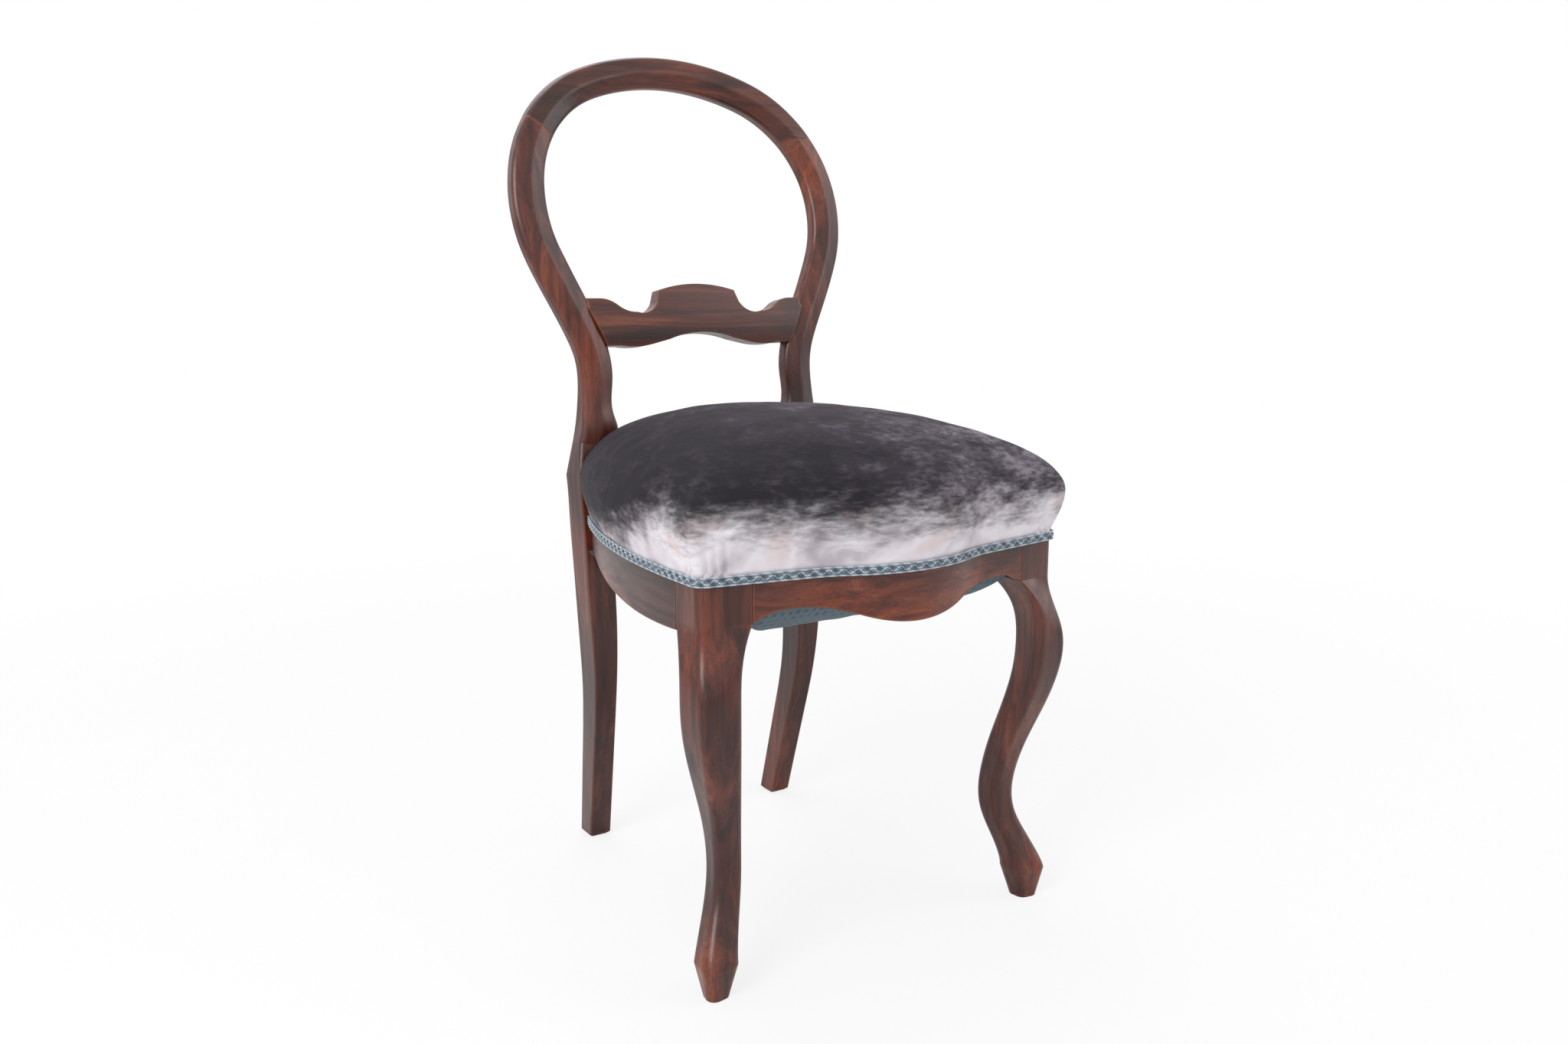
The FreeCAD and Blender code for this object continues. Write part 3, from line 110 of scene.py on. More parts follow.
def new_material(name: str) -> tuple[bpy.types.Material, bpy.types.NodeTree, bpy.types.Node]:
    """Make a material with nodes.

    Args:
        name: common name of the stuff and of its surface.

    Returns:
        The material, its node tree and its main shader.
    """
    material = bpy.data.materials.new(name)
    material.use_nodes = True
    return material, material.node_tree, material.node_tree.nodes["Principled BSDF"]


def per_mm(size_mm: float) -> float:
    """Noise scale at which a feature is about this many millimetres."""
    return 1.0 / (size_mm * MM)


class Grain(Enum):
    """Way that the wood's fibres run, with the stretch of its pattern along X, Y and Z."""

    ALONG_X = (0.07, 1.0, 1.0)
    ALONG_Y = (1.0, 0.07, 1.0)
    ALONG_Z = (1.0, 1.0, 0.07)


# Finishes

@dataclass(frozen=True)
class PolishedWalnut:
    """Old walnut, French polished over a reddish stain: dark streaks, edges drawn in a warmer brown and a
    soft shine.
    """

    grain: Grain
    shade: float = 0.0
    figure_mm: float = 15.0
    pore_mm: float = 1.3
    cloud_mm: float = 85.0
    ease_mm: float = 1.6

    def make(self) -> bpy.types.Material:
        """Build the wood's material.

        Returns:
            The material, named for its grain.
        """
        material, tree, shader = new_material("French polished walnut " + self.grain.name.lower())
        place = add_node(tree, "ShaderNodeTexCoord")
        along = add_node(tree, "ShaderNodeMapping", {"Vector": (place, "Object"), "Scale": self.grain.value})
        drawn = add_node(tree, "ShaderNodeMapping", {
            "Vector": (place, "Object"), "Scale": tuple(0.3 + 0.7 * v for v in self.grain.value)})
        # Streaks of the figure, as wide as the growth rings show on sawn faces
        figure = add_node(tree, "ShaderNodeTexNoise", {
            "Vector": (along, "Vector"), "Scale": per_mm(self.figure_mm), "Detail": 7.0,
            "Roughness": 0.62, "Distortion": 1.1})
        streaks = add_node(tree, "ShaderNodeValToRGB", {"Fac": (figure, "Fac")}, stops=[
            (0.28, "341c17"), (0.42, "512d25"), (0.54, "6b3d32"), (0.66, "80503e"), (0.8, "96664a")])
        # Clouds of stain: nearly black in places, orange where it has worn thin
        cloud = add_node(tree, "ShaderNodeTexNoise", {
            "Vector": (drawn, "Vector"), "Scale": per_mm(self.cloud_mm), "Detail": 3.0,
            "Roughness": 0.5, "Distortion": 0.5})
        stain = add_node(tree, "ShaderNodeValToRGB", {"Fac": (cloud, "Fac")}, stops=[
            (0.34, "5c4644"), (0.46, "9c8482"), (0.56, "d6c2bc"), (0.68, "f4cfae")])
        body = add_node(tree, "ShaderNodeMix", {
            "Factor": 0.9, 6: (streaks, "Color"), 7: (stain, "Color")},
            data_type="RGBA", blend_type="MULTIPLY")
        # Pores: fine dark dashes along the fibres, drawn a little coarser than real ones so that they show
        pores = add_node(tree, "ShaderNodeTexNoise", {
            "Vector": (along, "Vector"), "Scale": per_mm(self.pore_mm), "Detail": 2.0, "Roughness": 0.7})
        dashes = add_node(tree, "ShaderNodeValToRGB", {"Fac": (pores, "Fac")}, stops=[
            (0.36, "6a5a58"), (0.47, "ffffff")])
        porous = add_node(tree, "ShaderNodeMix", {
            "Factor": 0.4, 6: (body, 2), 7: (dashes, "Color")}, data_type="RGBA", blend_type="MULTIPLY")
        # Corners are drawn in a warmer brown: the bevelled normal leaves the flat one only there
        soft = add_node(tree, "ShaderNodeBevel", {"Radius": 3.2 * MM}, samples=4)
        flat = add_node(tree, "ShaderNodeNewGeometry")
        turn = add_node(tree, "ShaderNodeVectorMath", {
            0: (soft, "Normal"), 1: (flat, "Normal")}, operation="DOT_PRODUCT")
        warm_corners = add_node(tree, "ShaderNodeMapRange", {
            "Value": (turn, "Value"), "From Min": 0.995, "From Max": 0.86, "To Min": 0.0, "To Max": 0.5})
        warm = add_node(tree, "ShaderNodeMix", {
            "Factor": (warm_corners, "Result"), 6: (porous, 2), 7: linear("9a5a3a")}, data_type="RGBA")
        hue = add_node(tree, "ShaderNodeHueSaturation", {
            "Color": (warm, 2), "Saturation": 1.06, "Value": 1.22 - self.shade})
        tree.links.new(hue.outputs["Color"], shader.inputs["Base Color"])
        # The polish is thinner over the dark streaks, which breaks up the shine
        dull = add_node(tree, "ShaderNodeMapRange", {
            "Value": (figure, "Fac"), "From Min": 0.3, "From Max": 0.7, "To Min": 0.5, "To Max": 0.33})
        tree.links.new(dull.outputs["Result"], shader.inputs["Roughness"])
        eased = add_node(tree, "ShaderNodeBevel", {"Radius": self.ease_mm * MM}, samples=4)
        relief = add_node(tree, "ShaderNodeBump", {
            "Height": (pores, "Fac"), "Normal": (eased, "Normal"), "Strength": 0.25, "Distance": 0.2 * MM})
        uneven = add_node(tree, "ShaderNodeBump", {
            "Height": (figure, "Fac"), "Normal": (relief, "Normal"), "Strength": 0.35, "Distance": 0.8 * MM})
        tree.links.new(uneven.outputs["Normal"], shader.inputs["Normal"])
        tree.links.new(eased.outputs["Normal"], shader.inputs["Coat Normal"])
        shader.inputs["IOR"].default_value = 1.5
        shader.inputs["Specular IOR Level"].default_value = 0.3
        shader.inputs["Coat Weight"].default_value = 0.45
        shader.inputs["Coat Roughness"].default_value = 0.2
        return material


@dataclass(frozen=True)
class RawBeech:
    """Plain beech of the hidden frame: pale, with small flecks."""

    def make(self) -> bpy.types.Material:
        """Build the beech's material.

        Returns:
            The material.
        """
        material, tree, shader = new_material("Sawn beech")
        place = add_node(tree, "ShaderNodeTexCoord")
        along = add_node(tree, "ShaderNodeMapping", {
            "Vector": (place, "Object"), "Scale": Grain.ALONG_X.value})
        fleck = add_node(tree, "ShaderNodeTexNoise", {
            "Vector": (along, "Vector"), "Scale": per_mm(4.0), "Detail": 5.0, "Roughness": 0.6})
        tone = add_node(tree, "ShaderNodeValToRGB", {"Fac": (fleck, "Fac")}, stops=[
            (0.3, "8d6743"), (0.5, "b28a5e"), (0.7, "c6a277")])
        tree.links.new(tone.outputs["Color"], shader.inputs["Base Color"])
        relief = add_node(tree, "ShaderNodeBump", {
            "Height": (fleck, "Fac"), "Strength": 0.3, "Distance": 0.3 * MM})
        tree.links.new(relief.outputs["Normal"], shader.inputs["Normal"])
        shader.inputs["Roughness"].default_value = 0.7
        return material


@dataclass(frozen=True)
class CrushedVelvet:
    """Viscose velvet: charcoal, with its sheen painted into the colour as silvery pink over the front and
    round its front corners, and painted darker to the left.
    """

    crush_mm: float = 30.0
    streak_mm: float = 6.0
    pile_mm: float = 1.1
    # Height, reach, slope and raggedness of the painted sheen over the front
    sheen_level: float = 0.398
    sheen_height: float = 0.036
    sheen_back: float = -0.006
    fall_per_metre: float = 0.03
    sheen_noise: float = 0.056
    rag: float = 0.032
    turn: tuple[float, float] = (0.006, 0.07)

    def make(self) -> bpy.types.Material:
        """Build the velvet's material.

        Returns:
            The material.
        """
        material, tree, shader = new_material("Crushed viscose velvet")
        place = add_node(tree, "ShaderNodeTexCoord")
        seat = add_node(tree, "ShaderNodeMapping", {
            "Vector": (place, "Object"), "Location": (0.0, -DATUM_Y, 0.0)})
        flat = add_node(tree, "ShaderNodeMapping", {"Vector": (place, "Object"), "Scale": (0.55, 0.55, 1.7)})
        parts = add_node(tree, "ShaderNodeSeparateXYZ", {"Vector": (seat, "Vector")})
        crush = add_node(tree, "ShaderNodeTexNoise", {
            "Vector": (flat, "Vector"), "Scale": per_mm(self.crush_mm), "Detail": 3.0,
            "Roughness": 0.5, "Distortion": 0.2})
        streak = add_node(tree, "ShaderNodeTexNoise", {
            "Vector": (flat, "Vector"), "Scale": per_mm(self.streak_mm), "Detail": 3.0, "Roughness": 0.6})
        # Painted sheen: the silvery colour covers the front and its corners, up to a height that falls
        # towards the back
        reach = add_node(tree, "ShaderNodeMapRange", {
            "Value": (parts, "Y"), "From Min": 0.0, "From Max": -0.17, "To Min": self.sheen_back,
            "To Max": self.sheen_height}, interpolation_type="SMOOTHSTEP")
        rise = add_node(tree, "ShaderNodeMath", {0: (parts, "Z"), 1: self.sheen_level}, operation="SUBTRACT")
        slope = add_node(tree, "ShaderNodeMath", {
            0: (parts, "X"), 1: self.fall_per_metre, 2: (rise, 0)}, operation="MULTIPLY_ADD")
        under = add_node(tree, "ShaderNodeMath", {0: (reach, "Result"), 1: (slope, 0)}, operation="SUBTRACT")
        sheen_noisy = add_node(tree, "ShaderNodeMath", {
            0: (crush, "Fac"), 1: self.sheen_noise, 2: (under, 0)}, operation="MULTIPLY_ADD")
        ragged = add_node(tree, "ShaderNodeMath", {
            0: (streak, "Fac"), 1: self.rag, 2: (sheen_noisy, 0)}, operation="MULTIPLY_ADD")
        sheen_turning = add_node(tree, "ShaderNodeMapRange", {
            "Value": (ragged, 0), "From Min": self.turn[0], "From Max": self.turn[1], "To Min": 0.0,
            "To Max": 1.0}, interpolation_type="SMOOTHSTEP")
        # The square keeps the turn soft on its dark side too
        sheen_share = add_node(tree, "ShaderNodeMath", {0: (sheen_turning, "Result"), 1: 2.0}, operation="POWER")
        # Cloth without sheen: charcoal with a violet cast, mottled where it was pressed, with painted sheen
        # making it greyer to the right and darker to the left
        side = add_node(tree, "ShaderNodeMapRange", {
            "Value": (parts, "X"), "From Min": -0.12, "From Max": 0.20, "To Min": -0.40, "To Max": 0.10})
        mottle = add_node(tree, "ShaderNodeMath", {
            0: (crush, "Fac"), 1: 0.95, 2: (side, "Result")}, operation="MULTIPLY_ADD")
        fine = add_node(tree, "ShaderNodeMath", {
            0: (streak, "Fac"), 1: 0.7, 2: (mottle, 0)}, operation="MULTIPLY_ADD")
        sheenless = add_node(tree, "ShaderNodeValToRGB", {"Fac": (fine, 0)}, stops=[
            (0.42, "201d23"), (0.64, "302b33"), (0.84, "524c55"), (1.0, "7d757f")], blend="LINEAR")
        # Painted sheen: silver with faint pink and grey patches
        blush = add_node(tree, "ShaderNodeTexNoise", {
            "Vector": (place, "Object"), "Scale": per_mm(48.0), "Detail": 2.5, "Roughness": 0.5})
        sheen_silver = add_node(tree, "ShaderNodeValToRGB", {"Fac": (blush, "Fac")}, stops=[
            (0.30, "b5adb5"), (0.44, "d8d1d7"), (0.56, "e6e1e7"), (0.70, "dfd1d3")])
        # The painted sheen's share mixes the silver in over the charcoal cloth
        cloth = add_node(tree, "ShaderNodeMix", {
            "Factor": (sheen_share, 0), 6: (sheenless, "Color"), 7: (sheen_silver, "Color")}, data_type="RGBA")
        tree.links.new(cloth.outputs[2], shader.inputs["Base Color"])
        pile = add_node(tree, "ShaderNodeTexNoise", {
            "Vector": (place, "Object"), "Scale": per_mm(self.pile_mm), "Detail": 2.0})
        nap = add_node(tree, "ShaderNodeBump", {
            "Height": (pile, "Fac"), "Strength": 0.35, "Distance": 0.5 * MM})
        pressed = add_node(tree, "ShaderNodeBump", {
            "Height": (crush, "Fac"), "Normal": (nap, "Normal"), "Strength": 0.3, "Distance": 3.0 * MM})
        tree.links.new(pressed.outputs["Normal"], shader.inputs["Normal"])
        shader.inputs["Roughness"].default_value = 0.86
        shader.inputs["Specular IOR Level"].default_value = 0.2
        shader.inputs["Sheen Weight"].default_value = 0.1
        shader.inputs["Sheen Roughness"].default_value = 0.35
        shader.inputs["Sheen Tint"].default_value = linear("d9cdd8")
        return material


@dataclass(frozen=True)
class RayonThread:
    """Twisted rayon thread of the braid: fine oblique twist, painted shade in its grooves and a silky gleam.
    """

    name: str
    colour: str
    shadow: str
    twist_mm: float = 1.3

    def make(self) -> bpy.types.Material:
        """Build the thread's material.

        Returns:
            The material.
        """
        material, tree, shader = new_material("Rayon thread " + self.name)
        place = add_node(tree, "ShaderNodeTexCoord")
        slanted = add_node(tree, "ShaderNodeMapping", {
            "Vector": (place, "Object"), "Rotation": (0.0, math.radians(35.0), math.radians(45.0))})
        twist = add_node(tree, "ShaderNodeTexWave", {
            "Vector": (slanted, "Vector"), "Scale": per_mm(self.twist_mm) / 20.0, "Distortion": 1.0,
            "Detail": 2.0}, wave_type="BANDS")
        # Painted shade: the twist's grooves take the shadow colour, its ridges the thread's colour
        tone = add_node(tree, "ShaderNodeValToRGB", {"Fac": (twist, "Fac")}, stops=[
            (0.15, self.shadow), (0.75, self.colour)])
        tree.links.new(tone.outputs["Color"], shader.inputs["Base Color"])
        ridges = add_node(tree, "ShaderNodeBump", {
            "Height": (twist, "Fac"), "Strength": 0.6, "Distance": 0.3 * MM})
        tree.links.new(ridges.outputs["Normal"], shader.inputs["Normal"])
        shader.inputs["Roughness"].default_value = 0.5
        shader.inputs["Sheen Weight"].default_value = 0.2
        return material


@dataclass(frozen=True)
class PlainWeave:
    """Plain woven cloth, such as cotton lining, jute or hessian: crossing threads with gaps of shade."""

    name: str
    colour: str
    shadow: str
    thread_mm: float
    bump_mm: float = 0.4

    def make(self) -> bpy.types.Material:
        """Build the cloth's material.

        Returns:
            The material.
        """
        material, tree, shader = new_material(self.name)
        place = add_node(tree, "ShaderNodeTexCoord")
        heights = []
        for axis in ("X", "Y"):
            threads = add_node(tree, "ShaderNodeTexWave", {
                "Vector": (place, "Object"), "Scale": per_mm(self.thread_mm) / 20.0, "Distortion": 1.5,
                "Detail": 2.0, "Detail Scale": 2.0}, wave_type="BANDS", bands_direction=axis)
            heights.append(threads)
        weave = add_node(tree, "ShaderNodeMath", {
            0: (heights[0], "Fac"), 1: (heights[1], "Fac")}, operation="MAXIMUM")
        wear = add_node(tree, "ShaderNodeTexNoise", {
            "Vector": (place, "Object"), "Scale": per_mm(30.0), "Detail": 5.0})
        uneven = add_node(tree, "ShaderNodeMath", {
            0: (weave, "Value"), 1: 0.55, 2: (wear, "Fac")}, operation="MULTIPLY_ADD")
        tone = add_node(tree, "ShaderNodeValToRGB", {"Fac": (uneven, "Value")}, stops=[
            (0.45, self.shadow), (1.05, self.colour)])
        tree.links.new(tone.outputs["Color"], shader.inputs["Base Color"])
        relief = add_node(tree, "ShaderNodeBump", {
            "Height": (weave, "Value"), "Strength": 0.7, "Distance": self.bump_mm * MM})
        tree.links.new(relief.outputs["Normal"], shader.inputs["Normal"])
        shader.inputs["Roughness"].default_value = 0.85
        return material


@dataclass(frozen=True)
class DrawnSteel:
    """Drawn steel of springs, screws and tacks: dull metal with brown spots of rust."""

    name: str
    colour: str

    def make(self) -> bpy.types.Material:
        """Build the steel's material.

        Returns:
            The material.
        """
        material, tree, shader = new_material(self.name)
        place = add_node(tree, "ShaderNodeTexCoord")
        rust = add_node(tree, "ShaderNodeTexNoise", {
            "Vector": (place, "Object"), "Scale": per_mm(9.0), "Detail": 6.0, "Roughness": 0.7})
        tone = add_node(tree, "ShaderNodeValToRGB", {"Fac": (rust, "Fac")}, stops=[
            (0.45, self.colour), (0.68, "6e4a34")])
        tree.links.new(tone.outputs["Color"], shader.inputs["Base Color"])
        dull = add_node(tree, "ShaderNodeMapRange", {
            "Value": (rust, "Fac"), "From Min": 0.4, "From Max": 0.7, "To Min": 0.35, "To Max": 0.75})
        tree.links.new(dull.outputs["Result"], shader.inputs["Roughness"])
        shader.inputs["Metallic"].default_value = 0.9
        return material


# Meshes

def smooth_mesh(name: str, points: list[Vector], faces: list[tuple[int, ...]],
                material: bpy.types.Material) -> bpy.types.Object:
    """Make a smooth shaded mesh object.

    Args:
        name: name of the piece.
        points: corners, in metres.
        faces: corner numbers of each face.
        material: its finish.

    Returns:
        The new object, in the scene.
    """
    mesh = bpy.data.meshes.new(name)
    mesh.from_pydata([tuple(p) for p in points], [], faces)
    mesh.materials.append(material)
    mesh.polygons.foreach_set("use_smooth", [True] * len(mesh.polygons))
    mesh.update()
    piece = bpy.data.objects.new(name, mesh)
    bpy.context.scene.collection.objects.link(piece)
    return piece


def ring_faces(rings: int, count: int, closed: bool) -> list[tuple[int, ...]]:
    """Faces between rings of points.

    Args:
        rings: number of rings.
        count: points in each ring.
        closed: whether each ring joins up with itself.

    Returns:
        Four-sided faces.
    """
    faces = []
    for r in range(rings - 1):
        for i in range(count if closed else count - 1):
            j = (i + 1) % count
            faces.append((r * count + i, r * count + j, (r + 1) * count + j, (r + 1) * count + i))
    return faces


def swept(name: str, path: Path, section: list[Point], material: bpy.types.Material,
          closed: bool = False) -> bpy.types.Object:
    """Sweep a section of (outwards, up) along a level or rising path.

    Args:
        name: name of the piece.
        path: points of the path, in metres.
        section: closed section, each point outwards and up from the path.
        material: its finish.
        closed: whether the path joins up with itself.

    Returns:
        The new object.
    """
    rings = len(path)
    points = []
    for i, here in enumerate(path):
        before = path[i - 1] if closed or i > 0 else here
        after = path[(i + 1) % rings] if closed or i < rings - 1 else here
        along = (after - before).normalized()
        out = along.cross(Vector((0, 0, 1)))
        if out.length < 1e-6:
            out = Vector((0, -1, 0))
        out.normalize()
        up = out.cross(along).normalized()
        for outwards, upwards in section:
            points.append(here + out * outwards + up * upwards)
    count = len(section)
    faces = ring_faces(rings, count, True)
    if closed:
        last = (rings - 1) * count
        for i in range(count):
            j = (i + 1) % count
            faces.append((last + i, last + j, j, i))
    else:
        faces.append(tuple(range(count)))
        faces.append(tuple(reversed(range((rings - 1) * count, rings * count))))
    return smooth_mesh(name, points, faces, material)


def round_section(radius: float, sides: int = 8) -> list[Point]:
    """Points of a round section."""
    return [(radius * math.cos(2 * math.pi * i / sides), radius * math.sin(2 * math.pi * i / sides))
            for i in range(sides)]


@dataclass
class SeatPlan:
    """Plan of the seat frame, in metres: serpentine front, rounded front corners and bowed sides."""

    block_x: float = 0.183
    block_y: float = -0.191
    block_side: float = 0.050
    block_corner: float = 0.010
    bulge_radius: float = 0.153
    bulge_half: float = 0.068
    reverse_radius: float = 0.126
    run_angle: float = math.radians(9.6)
    side_rear_x: float = 0.151
    post_front: float = 0.132
    back_outer: float = 0.160
    middle: Vector = Vector((0.0, -0.031, 0.0))

    def right_half(self, offset: float) -> list[Point]:
        """Points from the middle of the front round to the right end of the back.

        Args:
            offset: distance outside the wood.

        Returns:
            Points in plan.
        """
        block_in = self.block_x - self.block_side / 2
        block_out = self.block_x + self.block_side / 2
        block_front = self.block_y - self.block_side / 2
        block_back = self.block_y + self.block_side / 2
        bulge_turn = math.asin(self.bulge_half / self.bulge_radius)
        run_x = self.bulge_half + self.reverse_radius * (math.sin(bulge_turn) - math.sin(self.run_angle))
        run_y = block_front - (block_in - run_x) * math.tan(self.run_angle)
        bulge_y = run_y - self.reverse_radius * (math.cos(self.run_angle) - math.cos(bulge_turn))
        bulge_centre = bulge_y + self.bulge_radius * math.cos(bulge_turn)
        reverse_x = self.bulge_half + self.reverse_radius * math.sin(bulge_turn)
        reverse_y = bulge_y - self.reverse_radius * math.cos(bulge_turn)
        points = []
        for i in range(13):
            turn = bulge_turn * i / 12
            points.append(((self.bulge_radius + offset) * math.sin(turn),
                           bulge_centre - (self.bulge_radius + offset) * math.cos(turn)))
        for i in range(1, 9):
            turn = bulge_turn + (self.run_angle - bulge_turn) * i / 8
            points.append((reverse_x - (self.reverse_radius - offset) * math.sin(turn),
                           reverse_y + (self.reverse_radius - offset) * math.cos(turn)))
        corner_x = block_out - self.block_corner
        run = (corner_x - block_in + self.block_corner * math.sin(self.run_angle)) / math.cos(self.run_angle)
        corner_y = block_front + run * math.sin(self.run_angle) + self.block_corner * math.cos(self.run_angle)
        for i in range(9):
            turn = self.run_angle + (math.pi / 2 - self.run_angle) * i / 8
            points.append((corner_x + (self.block_corner + offset) * math.sin(turn),
                           corner_y - (self.block_corner + offset) * math.cos(turn)))
        narrowing = block_out - self.side_rear_x
        reach = self.post_front - block_back
        side_radius = (narrowing ** 2 + reach ** 2) / (2 * narrowing)
        for i in range(21):
            y = block_back + (self.back_outer + offset - block_back) * i / 20
            across = math.sqrt((side_radius + offset) ** 2 - (y - block_back) ** 2)
            points.append((block_out - side_radius + across, y))
        return points

    def loop(self, offset: float, count: int) -> Path:
        """Closed outline with evenly spaced points, anticlockwise from the middle of the front.

        Args:
            offset: distance outside the wood.
            count: number of points.

        Returns:
            Points in plan, at height 0.
        """
        right = self.right_half(offset)
        left = [(-x, y) for x, y in reversed(right[1:])]
        corners = [Vector((x, y, 0.0)) for x, y in right + left]
        return even_points(corners + [corners[0]], count)


def even_points(corners: Path, count: int) -> Path:
    """Points spaced evenly along a line of corners; a closed line repeats its first corner.

    Args:
        corners: line to follow.
        count: number of points, of which the last one stops a step short of the end.

    Returns:
        Evenly spaced points.
    """
    lengths = [0.0]
    for a, b in zip(corners, corners[1:]):
        lengths.append(lengths[-1] + (b - a).length)
    points = []
    k = 0
    for i in range(count):
        target = lengths[-1] * i / count
        while lengths[k + 1] < target:
            k += 1
        share = (target - lengths[k]) / max(lengths[k + 1] - lengths[k], 1e-9)
        points.append(corners[k].lerp(corners[k + 1], share))
    return points


def dress(piece: bpy.types.Object) -> bpy.types.Object:
    """Move a new piece from the seat's datum to its place, fix it to the chair and report it.

    Args:
        piece: the new piece.

    Returns:
        The same piece.
    """
    piece.data.transform(Matrix.Translation((0.0, DATUM_Y, 0.0)))
    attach(piece, BODY)
    LOG.info("%s: %d faces", piece.name, len(piece.data.polygons))
    return piece


def clothe(names: tuple[str, ...], material: bpy.types.Material) -> None:
    """Put a material in every slot of some nodes.

    Args:
        names: nodes of the frame.
        material: finish for them.
    """
    for name in names:
        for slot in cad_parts[name].material_slots:
            slot.material = material
        LOG.info("%s: %s", name, material.name)


# Sub-assemblies

@dataclass
class WoodenFrame:
    """Show-wood of the chair, and the frame pieces hidden inside the seat."""

    upright: tuple[str, ...] = ("rear_leg_left", "rear_leg_right", "front_leg_left", "front_leg_right")
    crossing: tuple[str, ...] = ("crest_rail", "mid_rail", "front_seat_rail", "back_seat_rail")
    running_back: tuple[str, ...] = ("side_seat_rail_left", "side_seat_rail_right")
    hidden: tuple[str, ...] = ("corner_block_front_left", "corner_block_front_right",
                               "corner_block_rear_left", "corner_block_rear_right", "crest_dowels")

    def finish(self) -> None:
        """Give each wooden node its wood, with the grain along it."""
        clothe(self.upright, PolishedWalnut(Grain.ALONG_Z).make())
        clothe(self.crossing, PolishedWalnut(Grain.ALONG_X).make())
        clothe(self.running_back, PolishedWalnut(Grain.ALONG_Y).make())
        clothe(self.hidden, RawBeech().make())


@dataclass
class SeatInside:
    """Springs, webbing and cloths under the velvet, seen only from close below."""

    def finish(self) -> None:
        """Give the carried-over nodes their materials."""
        jute = PlainWeave("Jute webbing", "b09468", "5e4a30", thread_mm=2.2, bump_mm=0.6).make()
        hessian = PlainWeave("Hessian", "b9a47c", "6b5838", thread_mm=1.8).make()
        wire = DrawnSteel("Drawn spring wire", "8f8a82").make()
        steel = DrawnSteel("Steel screws and tacks", "8c8c8e").make()
        clothe(("webbing_front_to_back", "webbing_side_to_side", "lashing_twine"), jute)
        clothe(("hessian",), hessian)
        springs = ("spring_front_left", "spring_front_right", "spring_rear_left", "spring_rear_right")
        clothe(springs, wire)
        clothe(("corner_block_screws", "webbing_tacks"), steel)


